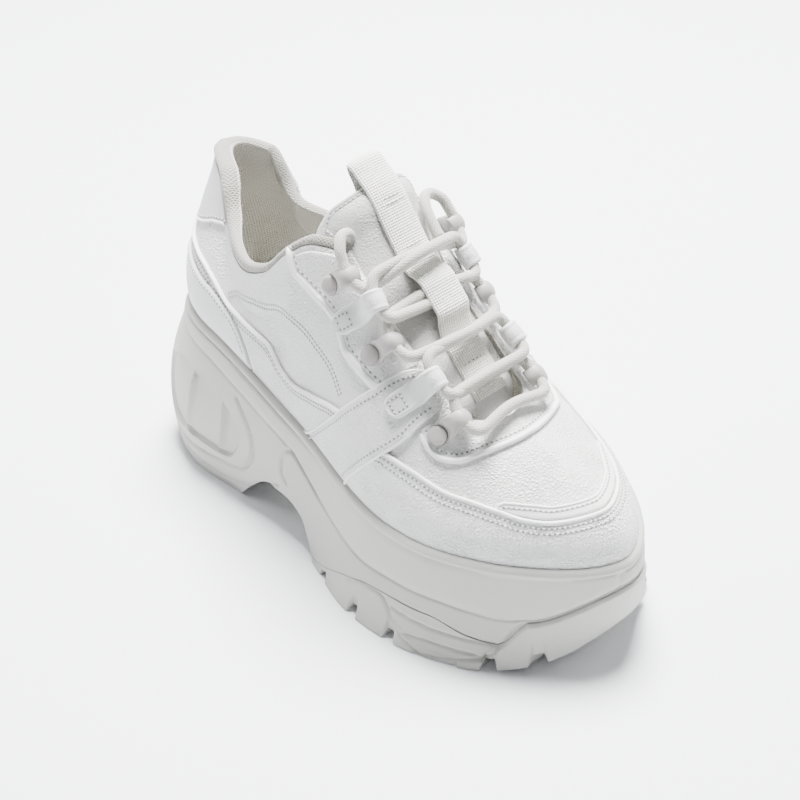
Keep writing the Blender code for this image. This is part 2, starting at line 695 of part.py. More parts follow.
def outsole_rows():
    """Rows of the outsole from its top down to the tread, from the arch round the toe."""
    turns = 2 * np.arange(SOLE_COLUMNS + 1) / SOLE_COLUMNS
    turns = turns[along(turns) > OUTSOLE_START]
    _, _, joint, tread = sole_levels(turns)
    lid = joint - CLEARANCE
    rows = [sole_wall(turns, lid, -GROOVE)]
    for share in OUTSOLE_ROWS:
        rows.append(sole_wall(turns, lid + (tread - lid) * share))
    rows.append(sole_wall(turns, tread, -EDGE_ROUND))
    return rows


def make_outsole(material):
    body = solid("outsole", *shell(outsole_rows(), False), material)
    cutters = []
    for share in NOTCHES:
        _, _, roof, lift = sole_levels(turn_of(share, 1))
        height = lift + min(NOTCH_DEPTH, (roof - lift) / 2)
        name = f"cutter_lug_{share}"
        cutters.append(channel(name, share * LENGTH, height, -BALL_WIDTH, BALL_WIDTH, material))
    cut(body, cutters)
    return body


def make_insole(material):
    turns = -1 + 2 * np.arange(COLUMNS) / COLUMNS
    inset = -(LIP + CLEARANCE + WALL + 2 * CLEARANCE)
    floor = cup_floor(turns) + CLEARANCE
    rows = [
        sole_line(turns, inset - INSOLE_ROUND, floor + INSOLE_THICKNESS),
        sole_line(turns, inset, floor + INSOLE_THICKNESS - INSOLE_ROUND),
        sole_line(turns, inset, floor),
    ]
    return solid("insole", *shell(rows, True), material)


def collar_pad(turn, up):
    """Extra thickness inside and swell outside of the padded collar."""
    share = along(turn)
    (line,) = table(COLLAR_LINE, share)
    fade = np.clip((PAD_END - share) / (PAD_END - PAD_FADE_START), 0, 1)
    fade = fade * fade * (3 - 2 * fade)
    inside = np.clip((up - PAD_LOW) / (PAD_HIGH - PAD_LOW), 0, 1)
    inside = inside * inside * (3 - 2 * inside)
    outside = np.clip((up - line) / (1 - line) / PAD_SWELL, 0, 1)
    return fade * inside, fade * outside


def make_upper(material):
    turns = -1 + 2 * np.arange(COLUMNS) / COLUMNS
    rows = []
    (line,) = table(COLLAR_LINE, along(turns))
    for up in UPPER_OUTER:
        rows.append(upper_form(turns, np.full(COLUMNS, up)))
    for share in COLLAR_ROWS:
        level = line + (COLLAR_TOP - line) * share
        rows.append(upper_form(turns, level, COLLAR_BULGE * collar_pad(turns, level)[1]))
    for up, share in RIM:
        inside, outside = collar_pad(turns, np.full(COLUMNS, up))
        thick = WALL + COLLAR_PAD * inside + COLLAR_BULGE * outside
        rows.append(upper_form(turns, up, COLLAR_BULGE * outside - thick * share))
    for up in UPPER_INNER:
        inside = collar_pad(turns, np.full(COLUMNS, up))[0]
        rows.append(upper_form(turns, up, -WALL - COLLAR_PAD * inside))
    rows = np.array(rows)
    number = np.arange(rows.shape[0] * COLUMNS).reshape(rows.shape[0], COLUMNS)
    faces = []
    for r in range(len(rows)):
        faces += strip(number[(r + 1) % len(rows)], number[r], True)
    return solid("upper", rows.reshape(-1, 3), faces, material)


def overlay(name, side, start, end, low, high, rows, columns, material):
    """Panel laid on the upper; side 0 runs round the heel or the toe, whichever is nearer."""
    if side:
        turns = np.linspace(turn_of(start, side), turn_of(end, side), columns)
    elif start == 0:
        turns = np.linspace(-turn_of(end, 1), turn_of(end, 1), columns)
    else:
        turns = np.linspace(turn_of(start, 1), 2 - turn_of(start, 1), columns)
    (bottom,) = table(low, along(turns))
    (top,) = table(high, along(turns))
    up = bottom + (top - bottom) * np.linspace(0, 1, rows)[:, None]
    grids = [upper_form(turns[None, :] + 0 * up, up, out) for out in (SEAT, SEAT + OVERLAY)]
    points, faces = slab(grids[1], grids[0])
    if side < 0:
        faces = [f[::-1] for f in faces]
    return solid(name, points, [f[::-1] for f in faces], material)


def tongue_frame(at):
    """Point of the tongue's middle line, its way up and its outward normal."""
    step = 0.004

    def line(t):
        x, z = table(TONGUE_LINE, t)[:2]
        return np.stack([x * THROAT_LENGTH, z * COLLAR_HEIGHT], -1)

    at = np.asarray(at, float)
    way = line(np.clip(at + step, 0, 1)) - line(np.clip(at - step, 0, 1))
    way /= np.linalg.norm(way, axis=-1, keepdims=True)
    normal = np.stack([way[..., 1], -way[..., 0]], -1)
    return line(at), way, normal


def tongue_point(at, across, out):
    """Point at a distance outside the tongue's front, across in metres."""
    middle, _, normal = tongue_frame(at)
    across = np.asarray(across, float)
    drop = TONGUE_SAG * (2 * across / TONGUE_WIDTH) ** 2
    flat = middle + normal * (np.asarray(out) - drop)[..., None]
    shift = table(TONGUE_LINE, at)[4] * COLLAR_SHIFT
    return np.stack([flat[..., 0], across + shift + 0 * flat[..., 0], flat[..., 1]], -1)


def make_tongue(material):
    at = np.linspace(0, 1, TONGUE_STATIONS)
    _, _, width, thick, _ = table(TONGUE_LINE, at)
    half = width * TONGUE_WIDTH / 2
    depth = thick * TONGUE_THICKNESS
    rows = np.array([tongue_point(at, share * half, (out - 1) * depth) for share, out in TONGUE_SECTION])
    count = rows.shape[0]
    number = np.arange(count * len(at)).reshape(count, len(at))
    faces = []
    for r in range(count):
        faces += strip(number[r], number[(r + 1) % count], False)
    faces.append(tuple(number[:, 0]))
    faces.append(tuple(number[::-1, -1]))
    return solid("tongue", rows.reshape(-1, 3), [f[::-1] for f in faces], material)


def tape_path(count):
    """Middle of the tape from the throat up over the tongue and round the pull loop, in its own plane."""
    at = np.linspace(TAPE_LINE[0][0], TAPE_LINE[-1][0], TAPE_STATIONS)
    (lift,) = table(TAPE_LINE, at)
    over = CLEARANCE + TAPE_THICKNESS / 2 + lift * LACE_DIAMETER
    flat = tongue_point(at, np.zeros(len(at)), over)[:, [0, 2]]
    middle, way, normal = tongue_frame(1.0)
    loop = [middle + normal * out * TAPE_THICKNESS + way * up * TAPE_THICKNESS for out, up in LOOP_LINE]
    return smooth_path(np.vstack([flat, loop]), count)


def smooth_path(points, count):
    """Even points along a smooth curve through the given ones."""
    points = np.asarray(points, float)
    gaps = np.linalg.norm(np.diff(points, axis=0), axis=1)
    knots = np.concatenate([[0], np.cumsum(gaps)])
    ways = np.zeros_like(points)
    ways[1:-1] = (points[2:] - points[:-2]) / (knots[2:] - knots[:-2])[:, None]
    ways[0] = (points[1] - points[0]) / gaps[0]
    ways[-1] = (points[-1] - points[-2]) / gaps[-1]
    at = np.linspace(0, knots[-1], count)
    k = np.clip(np.searchsorted(knots, at, side="right") - 1, 0, len(gaps) - 1)
    t = ((at - knots[k]) / gaps[k])[:, None]
    g = gaps[k][:, None]
    return (
        (1 + 2 * t) * (1 - t) ** 2 * points[k]
        + t * (1 - t) ** 2 * g * ways[k]
        + t * t * (3 - 2 * t) * points[k + 1]
        + t * t * (t - 1) * g * ways[k + 1]
    )


def make_tape(material):
    path = tape_path(TAPE_POINTS)
    way = np.gradient(path, axis=0)
    way /= np.linalg.norm(way, axis=1, keepdims=True)
    normal = np.stack([way[:, 1], -way[:, 0]], -1)
    middle = table(TONGUE_LINE, [tongue_place(*p) for p in path])[4] * COLLAR_SHIFT
    grids = []
    for side in (0.5, -0.5):
        flat = path + normal * TAPE_THICKNESS * side
        row = []
        for reach in (-TAPE_WIDTH / 2, TAPE_WIDTH / 2):
            row.append(np.stack([flat[:, 0], middle + reach, flat[:, 1]], -1))
        grids.append(np.array(row))
    return solid("tongue_tape", *slab(grids[1], grids[0]), material)


def eyelet_frame(row, side):
    """Seat of an eyelet on the upper: its point, outward normal, way to the throat and way to the toe."""
    _, share, up, end_share, end_up = row
    out = SEAT + OVERLAY + SEAT
    point = upper_form(turn_of(share, side), up, out)
    normal = upper_form(turn_of(share, side), up, out + 0.001) - point
    normal /= np.linalg.norm(normal)
    reach = upper_form(turn_of(end_share, side), end_up, out) - point
    reach -= normal * reach.dot(normal)
    reach /= np.linalg.norm(reach)
    toe = np.cross(normal, reach) * side
    return point, normal, reach, toe


def turned(name, centre, axis, start, radii, material):
    """Closed round solid along an axis through (distance, radius) stations."""
    other = np.cross(axis, start)
    angles = np.linspace(0, 2 * np.pi, HOOK_SIDES, endpoint=False)
    spokes = np.cos(angles)[:, None] * start + np.sin(angles)[:, None] * other
    points = np.array([centre + axis * d + spokes * r for d, r in radii])
    number = np.arange(points.shape[0] * HOOK_SIDES).reshape(points.shape[:2])
    faces = [tuple(reversed(number[0])), tuple(number[-1])]
    for r in range(len(points) - 1):
        faces += strip(number[r], number[r + 1], True)
    return solid(name, points.reshape(-1, 3), faces, material)


def bar(name, ends, half_widths, height, side_way, up_way, material):
    """Tapered plate from one place to another."""
    start, end = ends
    near, far = half_widths
    low = [start - side_way * near, end - side_way * far, end + side_way * far, start + side_way * near]
    high = [p + up_way * height for p in low]
    if np.cross(end - start, side_way).dot(up_way) < 0:
        low, high = low[::-1], high[::-1]
    return block(name, low, high, material)


def lace_end(row, side):
    """Middle of an eyelet's lace way, and the way along it towards the toe."""
    point, normal, reach, toe = eyelet_frame(row, side)
    far, radius = (HOOK_REACH, TUBE_RADIUS) if row[0] == "hook" else (LOOP_REACH, LOOP_BORE + LOOP_LEATHER)
    return point + reach * far + normal * radius, toe


def make_eyelet(name, row, side, material):
    """Hook with its rivet, or leather loop: a plate on the upper and a tube for the lace, in one piece."""
    point, normal, reach, toe = eyelet_frame(row, side)
    middle, _ = lace_end(row, side)
    hook = row[0] == "hook"
    outer = TUBE_RADIUS if hook else LOOP_BORE + LOOP_LEATHER
    bore = TUBE_BORE if hook else LOOP_BORE
    half = TUBE_LENGTH / 2 if hook else LOOP_WIDTH / 2
    body = turned(name, middle, toe, normal, [(-half, outer), (half, outer)], material)
    seat = middle - normal * outer
    if hook:
        dome = [(up * HOOK_HEIGHT, radius * HOOK_RADIUS) for up, radius in RIVET]
        parts = [turned(f"helper_{name}_rivet", point, normal, reach, dome, material)]
        near, far, high = NECK
        plate = (point, seat), (near * HOOK_RADIUS, far * half), high * HOOK_HEIGHT
    else:
        parts = []
        plate = (point - reach * LOOP_WIDTH * LOOP_TAIL, seat), (half, half), LOOP_LEATHER
    parts.append(bar(f"helper_{name}_plate", *plate, toe, normal, material))
    cut(body, parts, "UNION")
    hole = [(-half - BORE_MARGIN, bore), (half + BORE_MARGIN, bore)]
    cut(body, [turned(f"cutter_{name}", middle, toe, normal, hole, material)])
    return body


def tongue_place(x, z):
    """Nearest place along the tongue's middle line."""
    at = np.linspace(0, 1, 201)
    middle, _, _ = tongue_frame(at)
    return at[np.hypot(middle[:, 0] - x, middle[:, 1] - z).argmin()]


def strand_path(start, end, height, shift, count=STRAND_POINTS):
    """Smooth path of a lace between two eyelets, over the tape."""
    ends = []
    for eyelet, side, way in (start, end):
        middle, toe = lace_end(EYELETS[eyelet], side)
        lift = eyelet_frame(EYELETS[eyelet], side)[1] * LACE_DIAMETER * STRAND_LIFT
        half = TUBE_LENGTH / 2 if EYELETS[eyelet][0] == "hook" else LOOP_WIDTH / 2
        lead = toe * way * LACE_DIAMETER * STRAND_LEAD + lift
        ends.append((middle + toe * way * (half + LACE_GAP), lead))
    (a, lead_a), (b, lead_b) = ends
    middle = (a + b) / 2
    at = tongue_place(middle[0], middle[2]) + shift * LACE_DIAMETER / TONGUE_REACH
    over = TAPE_THICKNESS + 3 * CLEARANCE + LACE_DIAMETER * (0.5 + height)
    crown = tongue_point(at, middle[1] / 2, over)
    near_a = a + lead_a + (crown - a) * STRAND_NEAR
    near_b = b + lead_b + (crown - b) * STRAND_NEAR
    return smooth_path([a, near_a, crown, near_b, b], count)


def tube(name, path, radius, material):
    """Closed round tube along a path."""
    way = np.gradient(path, axis=0)
    way /= np.linalg.norm(way, axis=1, keepdims=True)
    side = np.cross(way, [0, 0, 1.0])
    side /= np.linalg.norm(side, axis=1, keepdims=True)
    up = np.cross(side, way)
    angles = np.linspace(0, 2 * np.pi, LACE_SIDES, endpoint=False)
    c, s = np.cos(angles)[None, :, None], np.sin(angles)[None, :, None]
    points = path[:, None] + radius * (c * side[:, None] + s * up[:, None])
    number = np.arange(points.shape[0] * LACE_SIDES).reshape(points.shape[:2])
    faces = [tuple(number[0]), tuple(reversed(number[-1]))]
    for r in range(len(path) - 1):
        faces += strip(number[r + 1], number[r], True)
    return solid(name, points.reshape(-1, 3), faces, material)


def make_laces(material):
    made = {}
    for name, start, end, height, shift in STRANDS:
        path = strand_path(start, end, height, shift)
        label = name if name not in made else f"helper_{name}"
        strand = tube(label, path, LACE_DIAMETER / 2, material)
        if name in made:
            cut(made[name], [strand], "UNION")
        else:
            made[name] = strand


def make_lace_ends(material):
    """Free ends of the lace, over the collar's edge and down beside the tongue."""
    for word, side, rows in LACE_ENDS:
        middle, toe = lace_end(EYELETS[-1], side)
        start = middle - toe * (TUBE_LENGTH / 2 + LACE_GAP)
        steps = np.array(rows) * LACE_DIAMETER * np.array([1, -side, 1])
        path = place(smooth_path(np.vstack([start, start + steps]), LACE_END_POINTS))
        curve = bpy.data.curves.new(f"lace_end_{word}", "CURVE")
        curve.dimensions = "3D"
        curve.bevel_depth = LACE_DIAMETER / 2
        curve.bevel_resolution = 2
        curve.use_fill_caps = True
        spline = curve.splines.new("POLY")
        spline.points.add(len(path) - 1)
        for point, position in zip(spline.points, path):
            point.co = (*position, 1)
        curve.materials.append(material)
        bpy.context.scene.collection.objects.link(bpy.data.objects.new(f"lace_end_{word}", curve))


def main():
    for thing in list(bpy.data.objects):
        bpy.data.objects.remove(thing)
    leather = principled("white leather", (0.80, 0.80, 0.79), 0.5)
    rubber = principled("sole rubber", (0.74, 0.74, 0.71), 0.55)
    lining = principled("lining mesh", (0.72, 0.70, 0.63), 0.85)
    woven = principled("woven tape", (0.76, 0.75, 0.69), 0.8)
    metal = principled("painted hook", (0.66, 0.63, 0.61), 0.35)
    make_midsole(rubber)
    make_outsole(rubber)
    make_insole(lining)
    make_upper(leather)
    make_tongue(leather)
    make_tape(woven)
    for name, *row in ROUND_OVERLAYS:
        overlay(name, 0, *row, leather)
    for side, word in ((-1, "lateral"), (1, "medial")):
        for name, *row in SIDE_OVERLAYS:
            overlay(f"{name}_{word}", side, *row, leather)
        for number, row in enumerate(EYELETS, 1):
            material = metal if row[0] == "hook" else leather
            make_eyelet(f"lace_{row[0]}_{word}_{number}", row, side, material)
    make_laces(woven)
    make_lace_ends(woven)


main()
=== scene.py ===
"""Platform sneaker, right foot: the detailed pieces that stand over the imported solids."""

import bmesh
import bpy
import numpy as np
from mathutils import Matrix, Vector


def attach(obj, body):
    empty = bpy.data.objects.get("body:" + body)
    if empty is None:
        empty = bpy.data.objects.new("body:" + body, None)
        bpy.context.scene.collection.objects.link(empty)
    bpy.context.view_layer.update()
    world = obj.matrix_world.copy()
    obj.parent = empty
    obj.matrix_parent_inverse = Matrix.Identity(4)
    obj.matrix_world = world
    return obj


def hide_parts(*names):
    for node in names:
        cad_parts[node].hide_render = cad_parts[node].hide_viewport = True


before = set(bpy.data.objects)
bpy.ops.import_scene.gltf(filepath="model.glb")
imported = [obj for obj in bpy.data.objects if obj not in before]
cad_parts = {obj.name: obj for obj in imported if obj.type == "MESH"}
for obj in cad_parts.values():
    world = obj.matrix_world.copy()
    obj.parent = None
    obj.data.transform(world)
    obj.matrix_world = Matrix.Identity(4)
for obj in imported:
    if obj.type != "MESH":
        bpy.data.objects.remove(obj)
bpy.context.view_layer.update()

# Place of the frame's origin, measured from the heel's end
MIDDLE = np.array([0.143692, -0.002583, 0.0])

# Sizes of the sole, in metres
LENGTH = 0.285
BALL_WIDTH = 0.1113
BAND_HEIGHT = 0.0528
HEEL_RISE = 0.0296
HEEL_SETBACK = 0.013
TOE_ROUNDING = 0.078
TOE_POWER = 1.75
HEEL_ROUNDING = 0.042
HEEL_POWER = 2.1
TOE_SWING = 0.001
BAND_DEPTH = 0.0235
SOLE_FLARE = 0.010
HEEL_BULGE = 0.012
ARCH_HEIGHT = 0.020
TOE_SPRING = 0.012
OUTSOLE_HEIGHT = 0.0205
OUTSOLE_START = 0.48
CUP_DEPTH = 0.011
LIP = 0.0032
EDGE_ROUND = 0.0010
GROOVE = 0.0012
RELIEF_DEPTH = 0.0022
NOTCH_DEPTH = 0.005

# Sizes of the upper
COLLAR_HEIGHT = 0.150
COLLAR_WIDTH = 0.064
COLLAR_SHIFT = 0.0035
THROAT_FRONT = 0.218
WALL = 0.0020
COLLAR_PAD = 0.0050
COLLAR_BULGE = 0.0014
OVERLAY = 0.0012
INSOLE_THICKNESS = 0.004
CLEARANCE = 0.0003
SEAT = 0.0009

# Sizes of the tongue, the tape and the lacing
TONGUE_WIDTH = 0.056
TONGUE_THICKNESS = 0.006
TONGUE_SAG = 0.019
TAPE_WIDTH = 0.0185
TAPE_THICKNESS = 0.0014
HOOK_RADIUS = 0.0052
HOOK_HEIGHT = 0.0022
TUBE_RADIUS = 0.0042
TUBE_BORE = 0.0031
TUBE_LENGTH = 0.0090
LOOP_WIDTH = 0.0093
LOOP_BORE = 0.0034
LACE_DIAMETER = 0.0052

COLUMNS = 60
SOLE_COLUMNS = 72
TAPE_STATIONS = 25

# Half widths of the band's top edge, as shares of BALL_WIDTH: (along, lateral, medial)
OUTLINE = (
    (0.00, 0.345, 0.345),
    (0.15, 0.352, 0.352),
    (0.42, 0.397, 0.368),
    (0.68, 0.520, 0.470),
    (0.76, 0.513, 0.480),
    (1.00, 0.450, 0.425),
)

# Sole heights: (along, band top over BAND_HEIGHT as a share of HEEL_RISE, depth of the band as a share
# of BAND_DEPTH, underside of the arch as a share of ARCH_HEIGHT, outsole's top as a share of
# OUTSOLE_HEIGHT)
SOLE_HEIGHTS = (
    (0.00, 1.00, 0.50, 0.00, 0.00),
    (0.12, 0.95, 0.50, 0.00, 0.00),
    (0.24, 0.71, 0.54, 0.00, 0.00),
    (0.28, 0.61, 0.56, 0.50, 0.00),
    (0.33, 0.48, 0.57, 0.97, 0.00),
    (0.38, 0.36, 0.60, 1.00, 0.02),
    (0.43, 0.26, 0.78, 0.82, 0.06),
    (0.48, 0.18, 1.04, 0.12, 0.10),
    (0.60, 0.06, 1.20, 0.00, 0.70),
    (0.68, 0.00, 1.08, 0.00, 0.96),
    (0.77, 0.00, 1.04, 0.00, 0.97),
    (0.83, 0.00, 1.10, 0.00, 0.71),
    (0.87, -0.01, 1.16, 0.00, 0.62),
    (0.91, -0.01, 1.12, 0.00, 1.25),
    (1.00, -0.03, 0.46, 0.00, 2.20),
)

# Toe spring of the tread: (along, share of TOE_SPRING)
SPRING = ((0.84, 0.0), (0.90, 0.22), (0.95, 0.50), (1.00, 0.96))

# Sideways swell of the sole: (along, at the band's lower edge, half way down and at the ground, all as
# shares of SOLE_FLARE, and behind the heel as a share of HEEL_BULGE)
SOLE_SWELL = (
    (0.00, 0.00, 0.00, 0.00, 1.00),
    (0.04, 0.12, 0.96, 0.92, 0.30),
    (0.12, 0.20, 1.06, 0.95, 0.00),
    (0.24, 0.28, 0.88, 0.68, 0.00),
    (0.36, 0.25, 0.50, 0.45, 0.00),
    (0.50, 0.22, 0.52, 0.86, 0.00),
    (0.62, 0.22, 0.66, 1.16, 0.00),
    (0.74, 0.22, 0.60, 1.05, 0.00),
    (0.90, 0.15, 0.32, 0.60, 0.00),
    (1.00, 0.10, -0.15, -0.75, 0.00),
)

# Top line of the upper: (along the sole, along the shoe as a share of THROAT_FRONT, half width as a
# share of half COLLAR_WIDTH, height as a share of COLLAR_HEIGHT, shift as a share of COLLAR_SHIFT)
TOP_LINE = (
    (0.00, 0.080, 0.00, 1.000, 2.4),
    (0.03, 0.097, 0.18, 1.004, 2.4),
    (0.12, 0.164, 0.44, 0.990, 2.4),
    (0.16, 0.197, 0.54, 0.955, 2.0),
    (0.20, 0.232, 0.64, 0.890, 1.4),
    (0.26, 0.296, 0.86, 0.846, 0.7),
    (0.30, 0.358, 0.97, 0.829, 0.3),
    (0.34, 0.422, 1.00, 0.856, 0.2),
    (0.40, 0.505, 1.00, 0.958, 0.3),
    (0.45, 0.578, 0.87, 1.022, 0.2),
    (0.50, 0.635, 0.73, 1.034, 0.2),
    (0.55, 0.690, 0.65, 0.975, -0.4),
    (0.63, 0.784, 0.59, 0.862, -1.1),
    (0.71, 0.872, 0.60, 0.755, -1.0),
    (0.80, 0.945, 0.57, 0.672, -1.1),
    (0.90, 0.982, 0.38, 0.650, -0.8),
    (1.00, 1.000, 0.00, 0.645, -0.8),
)

# Shape of the upper's sections: (along, outward lean and reach at the sole, then the way down and out
# from the top line and its reach); reaches are shares of COLLAR_HEIGHT
SECTIONS = (
    (0.00, 0.20, 0.17, -0.22, 0.00, -0.97, 0.15),
    (0.12, 0.12, 0.17, -0.05, -0.30, -0.95, 0.15),
    (0.30, 0.06, 0.14, 0.00, -0.26, -0.96, 0.12),
    (0.42, 0.05, 0.18, 0.00, -0.34, -0.94, 0.18),
    (0.50, 0.04, 0.20, 0.00, -0.50, -0.87, 0.22),
    (0.63, 0.04, 0.17, 0.05, -0.72, -0.69, 0.17),
    (0.75, 0.04, 0.12, 0.12, -0.72, -0.68, 0.12),
    (0.85, 0.04, 0.11, 0.36, -0.70, -0.61, 0.13),
    (0.93, 0.05, 0.12, 0.68, -0.52, -0.52, 0.16),
    (1.00, 0.06, 0.15, 0.90, 0.00, -0.43, 0.20),
)

# Edges of the overlays as heights on the upper: (along, height between lip and top line)
COLLAR_LINE = ((0.0, 0.94), (0.06, 0.93), (0.12, 0.90), (0.183, 0.85), (0.24, 0.865), (0.30, 0.90), (0.34, 0.925), (0.42, 0.945), (0.52, 0.955))
TAB_LINE = ((0.0, 0.47), (0.035, 0.50), (0.101, 0.588), (0.152, 0.696), (0.183, 0.80))
COUNTER_LINE = ((0.0, 0.36), (0.06, 0.34), (0.135, 0.30), (0.199, 0.312), (0.230, 0.305), (0.252, 0.24), (0.263, 0.10), (0.27, -0.05))
WAVE_LOW = ((0.0, 0.37), (0.06, 0.35), (0.135, 0.31), (0.199, 0.322), (0.234, 0.315), (0.257, 0.25), (0.268, 0.10), (0.28, -0.2), (0.60, -0.2))
WAVE_HIGH = ((0.0, 0.46), (0.071, 0.42), (0.14, 0.385), (0.209, 0.36), (0.262, 0.41), (0.301, 0.442), (0.332, 0.425), (0.353, 0.365), (0.370, 0.285), (0.403, 0.243), (0.447, 0.265), (0.505, 0.315), (0.551, 0.367))
EYESTAY_LOW = ((0.415, 0.90), (0.429, 0.80), (0.459, 0.75), (0.497, 0.72), (0.536, 0.70), (0.558, 0.655), (0.60, 0.652), (0.64, 0.70), (0.665, 0.84), (0.685, 0.95))
EYESTAY_HIGH = ((0.415, 0.905), (0.46, 0.92), (0.51, 0.94), (0.55, 0.985), (0.685, 0.985))
STRAP_HIGH = ((0.395, -0.2), (0.418, -0.03), (0.44, 0.045), (0.546, 0.354), (0.622, 0.623), (0.669, 0.85), (0.70, 0.985))
STRAP_LOW = ((0.39, -0.2), (0.535, -0.2), (0.555, 0.0), (0.60, 0.185), (0.648, 0.362), (0.70, 0.575), (0.721, 0.693), (0.76, 0.92))
MUDGUARD_HIGH = ((0.535, 0.06), (0.56, 0.22), (0.60, 0.33), (0.64, 0.385), (0.67, 0.415), (0.70, 0.428), (0.738, 0.444), (0.827, 0.45), (0.889, 0.413), (0.92, 0.37), (0.958, 0.346), (1.0, 0.35))
CRESCENT_LOW = ((0.885, 0.43), (0.92, 0.39), (0.958, 0.366), (1.0, 0.37))
CRESCENT_HIGH = ((0.885, 0.445), (0.905, 0.475), (0.939, 0.463), (0.966, 0.441), (1.0, 0.44))
THROAT_LOW = ((0.728, 0.66), (0.757, 0.63), (0.819, 0.681), (0.904, 0.794), (1.0, 0.865))
THROAT_HIGH = ((0.728, 0.69), (0.75, 0.80), (0.775, 0.94), (0.79, 0.985), (1.0, 0.985))

# Middle line of the tongue's front: (along the shoe as a share of THROAT_FRONT, height as a share of
# COLLAR_HEIGHT, half width as a share of half TONGUE_WIDTH, thickness as a share of TONGUE_THICKNESS,
# shift as a share of COLLAR_SHIFT)
TONGUE_LINE = (
    (0.00, 1.050, 0.560, 0.60, 0.40, -0.5),
    (0.08, 0.993, 0.605, 0.62, 0.45, -0.5),
    (0.16, 0.948, 0.662, 0.64, 0.60, -0.4),
    (0.30, 0.890, 0.740, 0.58, 0.90, -0.2),
    (0.50, 0.800, 0.872, 0.52, 1.00, 0.1),
    (0.70, 0.712, 1.010, 0.54, 1.00, 0.3),
    (0.80, 0.673, 1.075, 0.58, 0.95, 0.5),
    (0.90, 0.640, 1.130, 0.92, 0.85, 0.7),
    (1.00, 0.612, 1.165, 0.90, 0.55, 0.8),
)

# Pull loop and tape over the tongue: (along the tongue, height over it as a share of LACE_DIAMETER)
TAPE_LINE = ((0.165, 0.06), (0.405, 0.06), (0.475, 1.15), (0.575, 1.15), (0.64, 0.06), (0.97, 0.16))
LOOP_LINE = ((0.9, 3.0), (0.6, 7.0), (-0.8, 8.6), (-2.4, 7.0), (-3.8, 2.5), (-5.6, -1.5), (-6.8, -7.0))

# Eyelets on each side from the toe up: (kind, along, height of its outer end, along and height of its
# lace end)
EYELETS = (
    ("hook", 0.768, 0.750, 0.807, 0.900),
    ("loop", 0.677, 0.700, 0.713, 0.900),
    ("hook", 0.611, 0.770, 0.636, 0.900),
    ("loop", 0.551, 0.775, 0.585, 0.925),
    ("hook", 0.505, 0.820, 0.533, 0.920),
)
HOOK_REACH = 0.0118
LOOP_REACH = 0.0190
LOOP_LEATHER = 0.0013

# Lace strands over the tongue: (name, from eyelet, its side and end, to eyelet, its side and end, height
# of the middle over the tape and its shift up the tongue, both as shares of the lace); ends are 1 towards
# the toe and -1 towards the collar
STRANDS = (
    ("lace_bar", (0, -1, 1), (0, 1, 1), 1.1, 0.1),
    ("lace_crossing_1", (0, -1, -1), (1, 1, 1), 0.85, 0.1),
    ("lace_crossing_1", (0, 1, -1), (1, -1, 1), 0.10, -0.1),
    ("lace_crossing_2", (2, -1, 1), (1, 1, -1), 0.95, -0.2),
    ("lace_crossing_2", (1, -1, -1), (2, 1, 1), 0.25, -0.2),
    ("lace_crossing_3", (2, -1, -1), (3, 1, 1), -0.33, 0.5),
    ("lace_crossing_3", (2, 1, -1), (3, -1, 1), -0.33, -0.45),
    ("lace_crossing_4", (3, -1, -1), (4, 1, 1), 0.40, 0.4),
    ("lace_crossing_4", (4, -1, 1), (3, 1, -1), 1.10, 0.4),
)
# Free ends of the lace from the collar side of the top hooks: (side, points as reach towards the toe,
# inwards and up, all in lace diameters)
LACE_ENDS = (
    ("lateral", -1, (
        (-0.50, 0.20, 0.80), (-1.15, 0.95, 1.50), (-1.45, 1.90, 1.30), (-1.60, 2.38, 0.42),
        (-1.68, 2.50, -0.50), (-1.70, 2.50, -1.80),
    )),
    ("medial", 1, (
        (-0.67, 0.20, 0.90), (-1.25, 0.95, 1.50), (-1.00, 1.90, 1.65), (-0.20, 2.55, 1.20),
        (0.80, 2.90, 0.45), (1.85, 3.10, -0.45),
    )),
)
LACE_END_POINTS = 9
LACE_GAP = 0.0020
TONGUE_REACH = 0.130
LACE_SIDES = 6
LACE_WIDE = 0.0049


def table(rows, at):
    """Smooth monotone curve through each column of the rows, read at the given places."""
    rows = np.array(rows, float)
    x, y = rows[:, 0], rows[:, 1:]
    h = np.diff(x)[:, None]
    d = np.diff(y, axis=0) / h
    m = np.zeros_like(y)
    same = d[:-1] * d[1:] > 0
    w1, w2 = 2 * h[1:] + h[:-1], h[1:] + 2 * h[:-1]
    with np.errstate(divide="ignore", invalid="ignore"):
        mean = (w1 + w2) / (w1 / d[:-1] + w2 / d[1:])
    m[1:-1] = np.where(same, mean, 0)
    m[0], m[-1] = d[0], d[-1]
    at = np.clip(np.asarray(at, float), x[0], x[-1])
    k = np.clip(np.searchsorted(x, at, side="right") - 1, 0, len(x) - 2)
    t = ((at - x[k]) / h[k, 0])[..., None]
    hk = h[k]
    value = (
        (1 + 2 * t) * (1 - t) ** 2 * y[k]
        + t * (1 - t) ** 2 * hk * m[k]
        + t * t * (3 - 2 * t) * y[k + 1]
        + t * t * (t - 1) * hk * m[k + 1]
    )
    return np.moveaxis(value, -1, 0)


def along(turn):
    """Share of the length at a place round the shoe: 0 at the heel, 1 and -1 at the toe."""
    turn = np.abs((np.asarray(turn, float) + 1) % 2 - 1)
    return (1 - np.cos(np.pi * turn)) / 2


